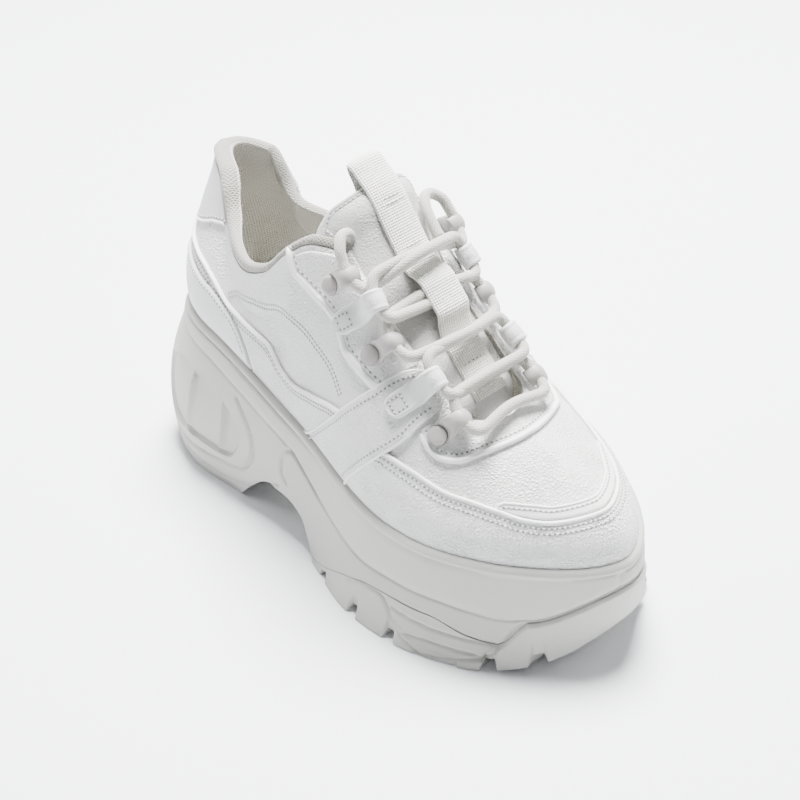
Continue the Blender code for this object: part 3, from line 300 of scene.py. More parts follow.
def band_edge(turn):
    """Plan view of the band's top edge; the lateral side has negative turns and negative y."""
    turn = (np.asarray(turn, float) + 1) % 2 - 1
    share = along(turn)
    x = HEEL_SETBACK + (LENGTH - HEEL_SETBACK) * share
    lateral, medial = table(OUTLINE, x / LENGTH) * BALL_WIDTH
    side = np.where(turn < 0, -lateral, medial)

    def rounded(distance, reach, power):
        gap = np.clip(1 - distance / reach, 0, 1)
        return np.maximum(1 - gap**power, 0) ** (1 / power)

    heel = rounded(x - HEEL_SETBACK, HEEL_ROUNDING, HEEL_POWER)
    toe = rounded(LENGTH - x, TOE_ROUNDING, TOE_POWER)
    swing = TOE_SWING * np.clip((x / LENGTH - 0.68) / 0.32, 0, 1) ** 2
    return np.stack([x, side * heel * toe + swing], -1)


def edge_normal(turn):
    step = 0.004
    way = band_edge(turn + step) - band_edge(turn - step)
    normal = np.stack([-way[..., 1], way[..., 0]], -1)
    return normal / np.linalg.norm(normal, axis=-1, keepdims=True)


def sole_line(turn, out, height):
    """Points round the shoe at a distance outside the band's top edge and at a height."""
    plan = band_edge(turn) + edge_normal(turn) * np.broadcast_to(out, np.shape(turn))[..., None]
    height = np.broadcast_to(height, np.shape(turn))
    return np.concatenate([plan, height[..., None]], -1)


def sole_levels(turn):
    """Heights of the band's top and lower edge, of the midsole's and the tread's underside."""
    share = along(turn)
    rise, depth, arch, outsole = table(SOLE_HEIGHTS, share)
    top = BAND_HEIGHT + HEEL_RISE * rise
    low = top - BAND_DEPTH * depth
    joint = np.minimum(OUTSOLE_HEIGHT * outsole, low - GROOVE)
    under = np.where(share < OUTSOLE_START, ARCH_HEIGHT * arch, joint)
    (spring,) = table(SPRING, share)
    return top, low, under, TOE_SPRING * spring


def sole_swell(turn):
    """Distances outside the band's top edge: at its lower edge, half way down and at the ground."""
    low, middle, ground, behind = table(SOLE_SWELL, along(turn))
    back = behind * HEEL_BULGE
    return low * SOLE_FLARE + back * 0.4, middle * SOLE_FLARE + back, ground * SOLE_FLARE + back * 0.5


def sole_wall(turn, height, out=0.0):
    """Point of the sole's side at a height, at a distance outside it."""
    top, low, _, tread = sole_levels(turn)
    at_low, at_middle, at_ground = sole_swell(turn)
    upper_share = np.clip((top - height) / (top - low), 0, 1)
    down = np.clip((low - height) / (low - tread), 0, 1)
    below = at_low * (2 * down - 1) * (down - 1) + at_middle * 4 * down * (1 - down)
    below = below + at_ground * down * (2 * down - 1)
    swell = np.where(height > low, at_low * np.sin(upper_share * np.pi / 2), below)
    return sole_line(turn, swell + out, height)


def cup_floor(turn):
    return sole_levels(turn)[0] - CUP_DEPTH


def upper_point(turn, up):
    """Middle form of the upper: up runs from -1 on the cup's floor over 0 at the lip to 1 at the top line."""
    turn, up = np.broadcast_arrays(np.asarray(turn, float), np.asarray(up, float))
    share = along(turn)
    side = np.where((turn + 1) % 2 - 1 < 0, 1, -1)
    base = sole_line(turn, -LIP - CLEARANCE, sole_levels(turn)[0])
    outward = edge_normal(turn)
    lean, reach, way_x, way_y, way_z, top_reach = table(SECTIONS, share)
    place, width, height, shift = table(TOP_LINE, share)
    inward, lower = table(FAR_SIDE, share) / 1000 * (side < 0)
    lift = table(ROLL, share)[1] / 1000 - lower
    across = shift * COLLAR_SHIFT - side * width * COLLAR_WIDTH / 2 - inward
    top = np.stack([place * THROAT_FRONT, across, height * COLLAR_HEIGHT + lift], -1)
    way = np.stack([way_x, side * way_y, way_z], -1)
    way /= np.linalg.norm(way, axis=-1, keepdims=True)
    rise = np.concatenate([outward * lean[..., None], np.ones(share.shape + (1,))], -1)
    p1 = base + rise * (reach * COLLAR_HEIGHT)[..., None]
    p2 = top + way * (top_reach * COLLAR_HEIGHT)[..., None]
    t = np.clip(up, 0, 1)[..., None]
    curve = (1 - t) ** 3 * base + 3 * t * (1 - t) ** 2 * p1 + 3 * t * t * (1 - t) * p2 + t**3 * top
    down = np.clip(up, -1, 0)[..., None] * np.array([0, 0, CUP_DEPTH - CLEARANCE])
    return curve + down


def upper_form(turn, up, out=0.0):
    """Point at a distance outside the upper's middle form."""
    step = 0.004
    turn, up, out = np.broadcast_arrays(
        np.asarray(turn, float), np.asarray(up, float), np.asarray(out, float)
    )
    round_way = upper_point(turn + step, up) - upper_point(turn - step, up)
    high, low = np.minimum(up + step, 1), np.maximum(up - step, -1)
    up_way = upper_point(turn, high) - upper_point(turn, low)
    normal = np.cross(up_way, round_way)
    normal /= np.linalg.norm(normal, axis=-1, keepdims=True)
    return upper_point(turn, up) + normal * out[..., None]


def turn_of(share, side):
    return side * np.arccos(1 - 2 * np.asarray(share, float)) / np.pi


# The collar's roll: (along, its fullness as a share, lift of the top line in mm)
ROLL = ((0.0, 1.0, 0.0), (0.15, 1.0, 0.0), (0.20, 0.72, 0.0), (0.26, 0.40, 0.2), (0.32, 0.28, 1.0), (0.36, 0.24, 1.8),
        (0.40, 0.22, 3.0), (0.44, 0.22, 4.0), (0.48, 0.2, 2.8), (0.505, 0.2, 1.2), (0.53, 0.2, 0.0), (1.0, 0.2, 0.0))
# The far side of the top line, set in and down in mm: (along, in, down)
FAR_SIDE = ((0.0, 0.0, 0.0), (0.12, 0.0, 0.0), (0.18, 2.4, 1.6), (0.23, 4.2, 4.0), (0.28, 2.4, 3.4), (0.34, 0.6, 1.6), (0.42, 0.0, 0.0),
            (1.0, 0.0, 0.0))


def collar_pad(turn, up):
    """Extra thickness inside and swell outside of the padded collar."""
    share = along(turn)
    (line,) = table(COLLAR_LINE, share)
    fade = np.clip((0.52 - share) / 0.12, 0, 1)
    fade = fade * fade * (3 - 2 * fade)
    inside = np.clip((up - 0.42) / 0.3, 0, 1)
    inside = inside * inside * (3 - 2 * inside)
    outside = np.clip((up - line) / (1 - line) * 4, 0, 1)
    return fade * inside, fade * outside


def tongue_frame(at):
    """Point of the tongue's middle line, its way up and its outward normal."""
    step = 0.004
    def line(t):
        x, z = table(TONGUE_LINE, t)[:2]
        return np.stack([x * THROAT_FRONT, z * COLLAR_HEIGHT], -1)
    at = np.asarray(at, float)
    way = line(np.clip(at + step, 0, 1)) - line(np.clip(at - step, 0, 1))
    way /= np.linalg.norm(way, axis=-1, keepdims=True)
    normal = np.stack([way[..., 1], -way[..., 0]], -1)
    return line(at), way, normal


def tongue_point(at, across, out):
    """Point at a distance outside the tongue's front, across in metres."""
    middle, _, normal = tongue_frame(at)
    across = np.asarray(across, float)
    drop = TONGUE_SAG * (2 * across / TONGUE_WIDTH) ** 2
    flat = middle + normal * (np.asarray(out) - drop)[..., None]
    shift = table(TONGUE_LINE, at)[4] * COLLAR_SHIFT
    return np.stack([flat[..., 0], across + shift + 0 * flat[..., 0], flat[..., 1]], -1)


def tape_path(count):
    """Middle of the tape from the throat up over the tongue and round the pull loop, in its own plane."""
    at = np.linspace(TAPE_LINE[0][0], TAPE_LINE[-1][0], TAPE_STATIONS)
    (lift,) = table(TAPE_LINE, at)
    over = CLEARANCE + TAPE_THICKNESS / 2 + lift * LACE_DIAMETER
    flat = tongue_point(at, np.zeros(len(at)), over)[:, [0, 2]]
    middle, way, normal = tongue_frame(1.0)
    loop = [middle + normal * out * TAPE_THICKNESS + way * up * TAPE_THICKNESS for out, up in LOOP_LINE]
    return smooth_path(np.vstack([flat, loop]), count)


def smooth_path(points, count):
    """Even points along a smooth curve through the given ones."""
    points = np.asarray(points, float)
    gaps = np.linalg.norm(np.diff(points, axis=0), axis=1)
    knots = np.concatenate([[0], np.cumsum(gaps)])
    ways = np.zeros_like(points)
    ways[1:-1] = (points[2:] - points[:-2]) / (knots[2:] - knots[:-2])[:, None]
    ways[0] = (points[1] - points[0]) / gaps[0]
    ways[-1] = (points[-1] - points[-2]) / gaps[-1]
    at = np.linspace(0, knots[-1], count)
    k = np.clip(np.searchsorted(knots, at, side="right") - 1, 0, len(gaps) - 1)
    t = ((at - knots[k]) / gaps[k])[:, None]
    g = gaps[k][:, None]
    return (
        (1 + 2 * t) * (1 - t) ** 2 * points[k]
        + t * (1 - t) ** 2 * g * ways[k]
        + t * t * (3 - 2 * t) * points[k + 1]
        + t * t * (t - 1) * g * ways[k + 1]
    )


def eyelet_frame(row, side):
    """Seat of an eyelet on the upper: its point, outward normal, way to the throat and way to the toe."""
    _, share, up, end_share, end_up = row
    out = SEAT + OVERLAY + SEAT
    point = upper_form(turn_of(share, side), up, out)
    normal = upper_form(turn_of(share, side), up, out + 0.001) - point
    normal /= np.linalg.norm(normal)
    reach = upper_form(turn_of(end_share, side), end_up, out) - point
    reach -= normal * reach.dot(normal)
    reach /= np.linalg.norm(reach)
    toe = np.cross(normal, reach) * side
    return point, normal, reach, toe


def lace_end(row, side):
    """Middle of an eyelet's lace way, and the way along it towards the toe."""
    point, normal, reach, toe = eyelet_frame(row, side)
    far, radius = (HOOK_REACH, TUBE_RADIUS) if row[0] == "hook" else (LOOP_REACH, LOOP_BORE + LOOP_LEATHER)
    return point + reach * far + normal * radius, toe


def tongue_place(x, z):
    """Nearest place along the tongue's middle line."""
    at = np.linspace(0, 1, 201)
    middle, _, _ = tongue_frame(at)
    return at[np.hypot(middle[:, 0] - x, middle[:, 1] - z).argmin()]


def strand_path(start, end, height, shift, count=10):
    """Smooth path of a lace between two eyelets, over the tape."""
    ends = []
    for eyelet, side, way in (start, end):
        middle, toe = lace_end(EYELETS[eyelet], side)
        lift = eyelet_frame(EYELETS[eyelet], side)[1] * LACE_DIAMETER * 0.2
        half = TUBE_LENGTH / 2 if EYELETS[eyelet][0] == "hook" else LOOP_WIDTH / 2
        ends.append((middle + toe * way * (half + LACE_GAP), toe * way * LACE_DIAMETER * 0.5 + lift))
    (a, lead_a), (b, lead_b) = ends
    middle = (a + b) / 2
    at = tongue_place(middle[0], middle[2]) + shift * LACE_DIAMETER / TONGUE_REACH
    over = TAPE_THICKNESS + 3 * CLEARANCE + LACE_DIAMETER * (0.5 + height)
    crown = tongue_point(at, middle[1] * 0.5, over)
    near_a = a + lead_a + (crown - a) * 0.14
    near_b = b + lead_b + (crown - b) * 0.14
    return smooth_path([a, near_a, crown, near_b, b], count)

# Meshes

def smooth(x):
    x = np.clip(x, 0, 1)
    return x * x * (3 - 2 * x)


def spread(points, axis):
    """Distance run along one axis of a grid of points, the same for all its lines."""
    steps = np.linalg.norm(np.diff(points, axis=axis), axis=-1)
    steps = steps.mean(axis=1 - axis)
    return np.concatenate([[0], np.cumsum(steps)])


def finish_piece(thing, nodes=()):
    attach(thing, "root")
    if nodes:
        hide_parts(*nodes)
    return thing


def mesh_piece(name, points, faces, materials, nodes=(), uv=None, face_slots=None, sharp=40):
    """Object from points in heel coordinates and faces, with uv per corner in metres."""
    mesh = bpy.data.meshes.new(name)
    mesh.from_pydata([tuple(p) for p in np.asarray(points) - MIDDLE], [], [tuple(f) for f in faces])
    for material in materials:
        mesh.materials.append(material)
    if face_slots is not None:
        mesh.polygons.foreach_set("material_index", np.asarray(face_slots, dtype=np.int32))
    if uv is not None:
        layer = mesh.uv_layers.new(name="form")
        layer.data.foreach_set("uv", np.asarray(uv, dtype=np.float32).reshape(-1))
    mesh.shade_smooth()
    mesh.set_sharp_from_angle(angle=np.radians(sharp))
    thing = bpy.data.objects.new(name, mesh)
    bpy.context.scene.collection.objects.link(thing)
    return finish_piece(thing, nodes)


def grid_faces(rows, columns, wrap_rows=False, wrap_columns=False, flip=False):
    """Faces of a grid, and for each corner its row and column, counted on past a wrap."""
    r = np.arange(rows if wrap_rows else rows - 1)
    c = np.arange(columns if wrap_columns else columns - 1)
    r, c = [a.reshape(-1) for a in np.meshgrid(r, c, indexing="ij")]
    corners = np.stack([np.stack([r, r, r + 1, r + 1], 1), np.stack([c, c + 1, c + 1, c], 1)], -1)
    if flip:
        corners = corners[:, ::-1]
    faces = (corners[..., 0] % rows) * columns + corners[..., 1] % columns
    return faces, corners


def grid_piece(name, points, materials, nodes=(), wrap_rows=False, wrap_columns=False, flip=False,
               row_material=None, caps=False, sharp=40):
    """Object from a grid of points; row_material gives each face's material from its row and column."""
    points = np.asarray(points, float)
    rows, columns = points.shape[:2]
    faces, corners = grid_faces(rows, columns, wrap_rows, wrap_columns, flip)
    closed_rows = np.concatenate([points, points[:1]]) if wrap_rows else points
    closed = np.concatenate([closed_rows, closed_rows[:, :1]], 1) if wrap_columns else closed_rows
    u, v = spread(closed, 1), spread(closed, 0)
    uv = np.stack([u[corners[..., 1]], v[corners[..., 0]]], -1).reshape(-1, 2)
    face_slots = None
    if row_material is not None:
        face_slots = row_material(corners[:, 0, 0], corners[:, 0, 1])
    faces = [tuple(int(i) for i in f) for f in faces]
    if caps:
        number = np.arange(rows * columns).reshape(rows, columns)
        ends = [tuple(int(i) for i in number[0][::-1]), tuple(int(i) for i in number[-1])]
        if flip:
            ends = [f[::-1] for f in ends]
        faces += ends
        uv = np.concatenate([uv, np.zeros((2 * columns, 2))])
        if face_slots is not None:
            face_slots = np.concatenate([face_slots, [0, 0]])
    return mesh_piece(name, points.reshape(-1, 3), faces, materials, nodes, uv, face_slots, sharp)


def slab_piece(name, front, back, materials, nodes=(), flip=False, sharp=40):
    """Closed sheet between two grids of points with the same rim."""
    rows, columns = front.shape[:2]
    faces, corners = grid_faces(rows, columns, flip=flip)
    u, v = spread(front, 1), spread(front, 0)
    uv = np.stack([u[corners[..., 1]], v[corners[..., 0]]], -1).reshape(-1, 2)
    number = np.arange(rows * columns).reshape(rows, columns)
    rim = list(number[0]) + list(number[1:, -1]) + list(number[-1, -2::-1]) + list(number[-2:0:-1, 0])
    count = rows * columns
    every = [tuple(int(i) for i in f) for f in faces]
    every += [tuple(i + count for i in reversed(f)) for f in every]
    sides = [(rim[k], rim[k - 1], rim[k - 1] + count, rim[k] + count) for k in range(len(rim))]
    if flip:
        sides = [f[::-1] for f in sides]
    every += [tuple(int(i) for i in f) for f in sides]
    flat = uv.reshape(-1, 4, 2)
    uv = np.concatenate([uv, flat[:, ::-1].reshape(-1, 2), np.zeros((4 * len(sides), 2))])
    points = np.concatenate([front.reshape(-1, 3), back.reshape(-1, 3)])
    return mesh_piece(name, points, every, materials, nodes, uv, sharp=sharp)


def tube_piece(name, path, width, height, material, nodes=(), sides=12, normals=None, caps=True):
    """Tube along a path; width lies along the surface and height along the normals where they are given."""
    path = np.asarray(path, float)
    way = np.gradient(path, axis=0)
    way /= np.linalg.norm(way, axis=1, keepdims=True)
    if normals is None:
        side = np.cross(way[0], [0, 0, 1.0])
        frames = []
        for w in way:
            side = side - w * side.dot(w)
            side /= np.linalg.norm(side)
            frames.append(side)
        side = np.array(frames)
    else:
        side = np.cross(way, normals)
        side /= np.linalg.norm(side, axis=1, keepdims=True)
    up = np.cross(side, way)
    angle = np.linspace(0, 2 * np.pi, sides, endpoint=False)
    c, s = np.cos(angle)[None, :, None], np.sin(angle)[None, :, None]
    width = np.broadcast_to(width, len(path))[:, None, None]
    height = np.broadcast_to(height, len(path))[:, None, None]
    points = path[:, None] + width / 2 * c * side[:, None] + height / 2 * s * up[:, None]
    return grid_piece(name, points, [material], nodes, wrap_columns=True, caps=caps, sharp=60)


# Materials

class Nodes:
    """Short calls for building one material's nodes."""

    def __init__(self, name, roughness, **sockets):
        self.material = bpy.data.materials.new(name)
        self.material.use_nodes = True
        self.tree = self.material.node_tree
        self.shader = self.tree.nodes["Principled BSDF"]
        self.shader.inputs["Roughness"].default_value = roughness
        for key, value in sockets.items():
            self.shader.inputs[key.replace("_", " ")].default_value = value
        self.place = self.tree.nodes.new("ShaderNodeTexCoord")

    def join(self, a, b):
        self.tree.links.new(a, b)

    def node(self, kind, inputs=(), **settings):
        made = self.tree.nodes.new(kind)
        for key, value in settings.items():
            setattr(made, key, value)
        for key, value in dict(inputs).items():
            if isinstance(value, bpy.types.NodeSocket):
                self.join(value, made.inputs[key])
            else:
                made.inputs[key].default_value = value
        return made

    def maths(self, operation, a, b=0.0, c=0.0):
        return self.node("ShaderNodeMath", {0: a, 1: b, 2: c}, operation=operation).outputs[0]

    def noise(self, scale, detail=2.0, where=None):
        where = where or self.place.outputs["Object"]
        made = self.node("ShaderNodeTexNoise", {"Vector": where, "Scale": scale, "Detail": detail})
        return made.outputs["Fac"]

    def cells(self, scale, feature="F1", where=None, randomness=1.0):
        where = where or self.place.outputs["Object"]
        inputs = {"Vector": where, "Scale": scale, "Randomness": randomness}
        return self.node("ShaderNodeTexVoronoi", inputs, feature=feature).outputs["Distance"]

    def ramp(self, value, stops):
        made = self.node("ShaderNodeValToRGB", {"Fac": value})
        ramp = made.color_ramp
        while len(ramp.elements) < len(stops):
            ramp.elements.new(0.5)
        for element, (place, colour) in zip(ramp.elements, stops):
            element.position = place
            element.color = (*colour, 1)
        return made.outputs["Color"]

    def bump(self, height, distance, strength=1.0, after=None):
        inputs = {"Height": height, "Distance": distance, "Strength": strength}
        if after is not None:
            inputs["Normal"] = after
        return self.node("ShaderNodeBump", inputs).outputs["Normal"]

    def done(self, colour=None, normal=None, roughness=None):
        if colour is not None:
            self.join(colour, self.shader.inputs["Base Color"])
        if normal is not None:
            self.join(normal, self.shader.inputs["Normal"])
        if roughness is not None:
            self.join(roughness, self.shader.inputs["Roughness"])
        return self.material


def leather(name, tint, grain, wrinkle):
    """White leather: small pebbles with soft creases between, and faint soiling."""
    n = Nodes(name, 0.5)
    warp = n.noise(140, 3)
    shifted = n.node("ShaderNodeVectorMath", {0: n.place.outputs["Object"]}, operation="ADD")
    scaled = n.node("ShaderNodeVectorMath", {0: warp, 1: (0.0028, 0.0028, 0.0028)}, operation="MULTIPLY")
    n.join(scaled.outputs[0], shifted.inputs[1])
    where = shifted.outputs[0]
    edge = n.maths("MINIMUM", n.maths("MULTIPLY", n.cells(610, "DISTANCE_TO_EDGE", where), 2.2), 1.0)
    pebble = n.maths("MULTIPLY", n.maths("POWER", edge, 0.6), n.maths("ADD", n.noise(75, 3), -0.12))
    fine = n.noise(1500, 3, where)
    soft = n.noise(110, 4)
    first = n.bump(pebble, 0.0013 * grain, 1.0)
    second = n.bump(fine, 0.00006, 0.8, first)
    third = n.bump(soft, 0.0012 * wrinkle, 0.6, second)
    tone = n.noise(26, 4)
    low = tuple(0.955 * c for c in tint)
    colour = n.ramp(tone, ((0.3, low), (0.7, tint)))
    sheen = n.ramp(n.noise(60, 3), ((0.3, (0.44,) * 3), (0.7, (0.58,) * 3)))
    return n.done(colour, third, sheen)


def moulded(name, tint):
    """Matte moulded sole: fine skin, faint mottling."""
    n = Nodes(name, 0.6)
    normal = n.bump(n.noise(1900, 3), 0.00005, 0.8)
    normal = n.bump(n.noise(70, 3), 0.0007, 0.35, normal)
    low = tuple(0.965 * c for c in tint)
    colour = n.ramp(n.noise(22, 4), ((0.35, low), (0.65, tint)))
    return n.done(colour, normal)


def knitted(name, tint, dark, pitch, depth):
    """Mesh cloth with rows of small holes, laid out on the piece's own surface."""
    n = Nodes(name, 0.85, Sheen_Weight=0.25)
    uv = n.node("ShaderNodeUVMap", uv_map="form").outputs["UV"]
    waves = []
    for x, y in ((1.0, 0.0), (0.5, 0.866), (0.5, -0.866)):
        turn = 2 * np.pi / pitch
        dot = n.node("ShaderNodeVectorMath", {0: uv, 1: (x * turn, y * turn, 0)}, operation="DOT_PRODUCT")
        waves.append(n.maths("COSINE", dot.outputs["Value"]))
    height = n.maths("ADD", n.maths("ADD", waves[0], waves[1]), waves[2])
    level = n.maths("MULTIPLY_ADD", height, -0.2222, 0.6667)
    fibre = n.noise(2600, 2)
    colour = n.ramp(n.maths("MULTIPLY_ADD", fibre, 0.12, level), ((0.22, dark), (0.62, tint)))
    normal = n.bump(level, depth, 1.0)
    normal = n.bump(fibre, 0.00008, 0.6, normal)
    return n.done(colour, normal)


def woven(name, tint, dark, pitch, depth):
    """Ribbed tape: the ribs are in the mesh, and the threads cross them here."""
    n = Nodes(name, 0.8, Sheen_Weight=0.2)
    uv = n.node("ShaderNodeUVMap", uv_map="form").outputs["UV"]
    split = n.node("ShaderNodeSeparateXYZ", {0: uv})
    thread = n.maths("SINE", n.maths("MULTIPLY", split.outputs[1], 2 * np.pi / pitch))
    fibre = n.noise(2400, 2)
    mixed = n.maths("MULTIPLY_ADD", thread, 0.5, n.maths("MULTIPLY", fibre, 0.6))
    colour = n.ramp(mixed, ((0.0, dark), (0.65, tint)))
    return n.done(colour, n.bump(mixed, depth, 0.9))


def braided(name, tint, dark, pitch, depth):
    """Round braid: two sets of threads crossing on the slant."""
    n = Nodes(name, 0.75, Sheen_Weight=0.3)
    uv = n.node("ShaderNodeUVMap", uv_map="form").outputs["UV"]
    waves = []
    for x, y in ((1.0, 0.62), (1.0, -0.62)):
        turn = 2 * np.pi / pitch
        dot = n.node("ShaderNodeVectorMath", {0: uv, 1: (x * turn, y * turn, 0)}, operation="DOT_PRODUCT")
        waves.append(n.maths("ABSOLUTE", n.maths("SINE", n.maths("MULTIPLY", dot.outputs["Value"], 0.5))))
    level = n.maths("MULTIPLY", waves[0], waves[1])
    fibre = n.noise(3000, 2)
    mixed = n.maths("MULTIPLY_ADD", fibre, 0.25, level)
    colour = n.ramp(mixed, ((0.12, dark), (0.55, tint)))
    return n.done(colour, n.bump(mixed, depth, 1.0))


def painted(name, tint):
    """Satin painted hook."""
    n = Nodes(name, 0.5)
    colour = n.ramp(n.noise(300, 3), ((0.3, tuple(0.94 * c for c in tint)), (0.7, tint)))
    return n.done(colour, n.bump(n.noise(900, 2), 0.00005, 0.5))


def thread_of(name, tint):
    n = Nodes(name, 0.7)
    return n.done(n.ramp(n.noise(1800, 2), ((0.3, tuple(0.85 * c for c in tint)), (0.7, tint))))


# Camera, light and floor

CAMERA_PLACE = (664.0, -462.4, 569.6)
CAMERA_RIGHT = (0.6830, 0.7296, -0.0337)
CAMERA_UP = (-0.4107, 0.4219, 0.8083)
CAMERA_BACK = (0.6039, -0.5383, 0.5878)
CAMERA_LENS = 84.09


def make_camera():
    data = bpy.data.cameras.new("camera")
    data.sensor_width = 36
    data.lens = CAMERA_LENS
    thing = bpy.data.objects.new("camera", data)
    place = Vector(CAMERA_PLACE) / 1000 - Vector(MIDDLE)
    turn = Matrix((CAMERA_RIGHT, CAMERA_UP, CAMERA_BACK)).transposed()
    thing.matrix_world = Matrix.Translation(place) @ turn.to_quaternion().to_matrix().to_4x4()
    bpy.context.scene.collection.objects.link(thing)
    bpy.context.scene.camera = thing


def make_light(name, place, aim, size, power, colour=(1, 1, 1)):
    data = bpy.data.lights.new(name, "AREA")
    data.shape = "DISK"
    data.size = size
    data.energy = power
    data.color = colour
    thing = bpy.data.objects.new(name, data)
    thing.location = place
    thing.rotation_euler = (Vector(aim) - Vector(place)).to_track_quat("-Z", "Y").to_euler()
    bpy.context.scene.collection.objects.link(thing)


def make_studio():
    mesh = bpy.data.meshes.new("floor")
    reach = 6.0
    mesh.from_pydata([(-reach, -reach, 0), (reach, -reach, 0), (reach, reach, 0), (-reach, reach, 0)], [], [(0, 1, 2, 3)])
    floor = bpy.data.objects.new("floor", mesh)
    n = Nodes("floor paper", 0.7)
    mesh.materials.append(n.done(n.ramp(n.noise(3, 2), ((0.3, FLOOR_COLOUR), (0.7, FLOOR_COLOUR)))))
    bpy.context.scene.collection.objects.link(floor)
    world = bpy.data.worlds.new("studio")
    world.use_nodes = True
    tree = world.node_tree
    place = tree.nodes.new("ShaderNodeTexCoord")
    dot = tree.nodes.new("ShaderNodeVectorMath")
    dot.operation = "DOT_PRODUCT"
    dot.inputs[1].default_value = WORLD_WAY
    half = tree.nodes.new("ShaderNodeMath")
    half.operation = "MULTIPLY_ADD"
    half.inputs[1].default_value = half.inputs[2].default_value = 0.5
    ramp = tree.nodes.new("ShaderNodeValToRGB")
    for element, level in zip(ramp.color_ramp.elements, WORLD_LEVELS):
        element.color = (*[level * c for c in WORLD_COLOUR], 1)
    tree.links.new(place.outputs["Generated"], dot.inputs[0])
    tree.links.new(dot.outputs["Value"], half.inputs[0])
    tree.links.new(half.outputs[0], ramp.inputs["Fac"])
    tree.links.new(ramp.outputs["Color"], tree.nodes["Background"].inputs["Color"])
    world.node_tree.nodes["Background"].inputs["Strength"].default_value = WORLD_STRENGTH
    bpy.context.scene.world = world
    for row in LIGHTS:
        make_light(*row)


FLOOR_COLOUR = (0.84, 0.85, 0.87)
WORLD_COLOUR = (0.92, 0.96, 1.0)
WORLD_STRENGTH = 0.46
WORLD_WAY = (-0.50, 0.20, 0.84)
WORLD_LEVELS = (0.29, 1.0)
LIGHTS = (
    ("top light", (-0.28, 0.38, 1.38), (0, 0, 0.05), 0.75, 162),
    ("left light", (-1.2, -0.55, 0.9), (0, 0, 0.06), 0.7, 10.5),
    ("right light", (0.7, 1.2, 0.7), (0, 0, 0.06), 0.7, 8),
)


# Sole

ARCH_START = 0.36


def curve_through(points, closed=False, per_span=8):
    """Dense smooth line through given (along, height in mm) points, in metres of length and height."""
    p = np.array(points, float) * np.array([LENGTH, 0.001])
    p = np.concatenate([p[-1:], p, p[:2]]) if closed else np.concatenate([2 * p[:1] - p[1:2], p, 2 * p[-1:] - p[-2:-1]])
    made = []
    for k in range(1, len(p) - 2):
        t = np.linspace(0, 1, per_span, endpoint=False)[:, None]
        a, b, c, d = p[k - 1], p[k], p[k + 1], p[k + 2]
        made.append(0.5 * (2 * b + (c - a) * t + (2 * a - 5 * b + 4 * c - d) * t**2 + (3 * b - a - 3 * c + d) * t**3))
    made.append(p[-2:-1])
    return np.concatenate(made)


def distance_to(x, z, line):
    best = np.full(np.shape(x), 1e9)
    for a, b in zip(line[:-1], line[1:]):
        way = b - a
        t = np.clip(((x - a[0]) * way[0] + (z - a[1]) * way[1]) / max(way.dot(way), 1e-12), 0, 1)
        best = np.minimum(best, np.hypot(x - a[0] - t * way[0], z - a[1] - t * way[1]))
    return best


def inside_of(x, z, line):
    found = np.zeros(np.shape(x), bool)
    for a, b in zip(line, np.roll(line, -1, axis=0)):
        crosses = (a[1] > z) != (b[1] > z)
        with np.errstate(divide="ignore", invalid="ignore"):
            at = a[0] + (z - a[1]) * (b[0] - a[0]) / (b[1] - a[1])
        found ^= crosses & (x < at)
    return found


def signed(x, z, line):
    """Distance inside a closed line, negative outside."""
    gap = distance_to(x, z, np.concatenate([line, line[:1]]))
    return np.where(inside_of(x, z, line), gap, -gap)


def groove(x, z, line, width, depth):
    return -depth * np.exp(-(distance_to(x, z, line) / (width / 2)) ** 2)


def panel(x, z, line, depth, slope):
    """Sunk region with a sloping edge."""
    return -depth * smooth(signed(x, z, line) / slope + 0.5)


WINDOW_LINE = ((0.045, 50), (0.08, 56.5), (0.114, 57.5), (0.16, 55), (0.208, 51.2), (0.239, 45.6), (0.257, 38), (0.257, 31),
               (0.236, 23), (0.196, 20.5), (0.156, 21), (0.113, 20.5), (0.07, 20), (0.048, 27), (0.040, 38))
WINDOW_RING = ((0.249, 56), (0.285, 44.7), (0.296, 34.5), (0.289, 26.7), (0.269, 20), (0.235, 16.5), (0.208, 15.3),
               (0.15, 14), (0.10, 12.5), (0.05, 12), (0.0, 12))
FOOT_LINE = ((0.0, 8.5), (0.06, 8.5), (0.13, 6.5), (0.20, 5.5), (0.26, 9), (0.315, 17), (0.36, 23))
SLOT_LINES = (((0.129, 51.9), (0.127, 39.5), (0.116, 24.7)), ((0.216, 48.8), (0.215, 36.1), (0.205, 24)))
ARCH_LINES = (((0.398, 47.5), (0.38, 44.6), (0.373, 38.6), (0.373, 32), (0.384, 28)),
              ((0.398, 47.5), (0.43, 42), (0.47, 36), (0.508, 33)))
TOE_PANEL = ((0.645, 17.0), (0.669, 18), (0.70, 12.6), (0.72, 9.5), (0.741, 6), (0.775, 3.6), (0.81, 3.6), (0.845, 6.5),
             (0.870, 13.5), (0.835, 15.0), (0.80, 18), (0.76, 20.5), (0.71, 20.5))
TOE_DIAGONAL = ((0.757, 1.3), (0.80, 2.2), (0.854, 5.8), (0.872, 11.8), (0.887, 18.9), (0.902, 23.6))
TOE_LINES = (((0.60, 13), (0.635, 17), (0.679, 17.6), (0.705, 11.2), (0.73, 5.0), (0.757, 1.5)),
             ((0.703, 15.3), (0.746, 14.4), (0.793, 13.5), (0.836, 12.5), (0.872, 11.8)),
             ((0.729, 6.6), (0.773, 7.7), (0.817, 6.9), (0.854, 5.8)))
TOE_SEAM = 0.9965
BUMPER = 0.0011


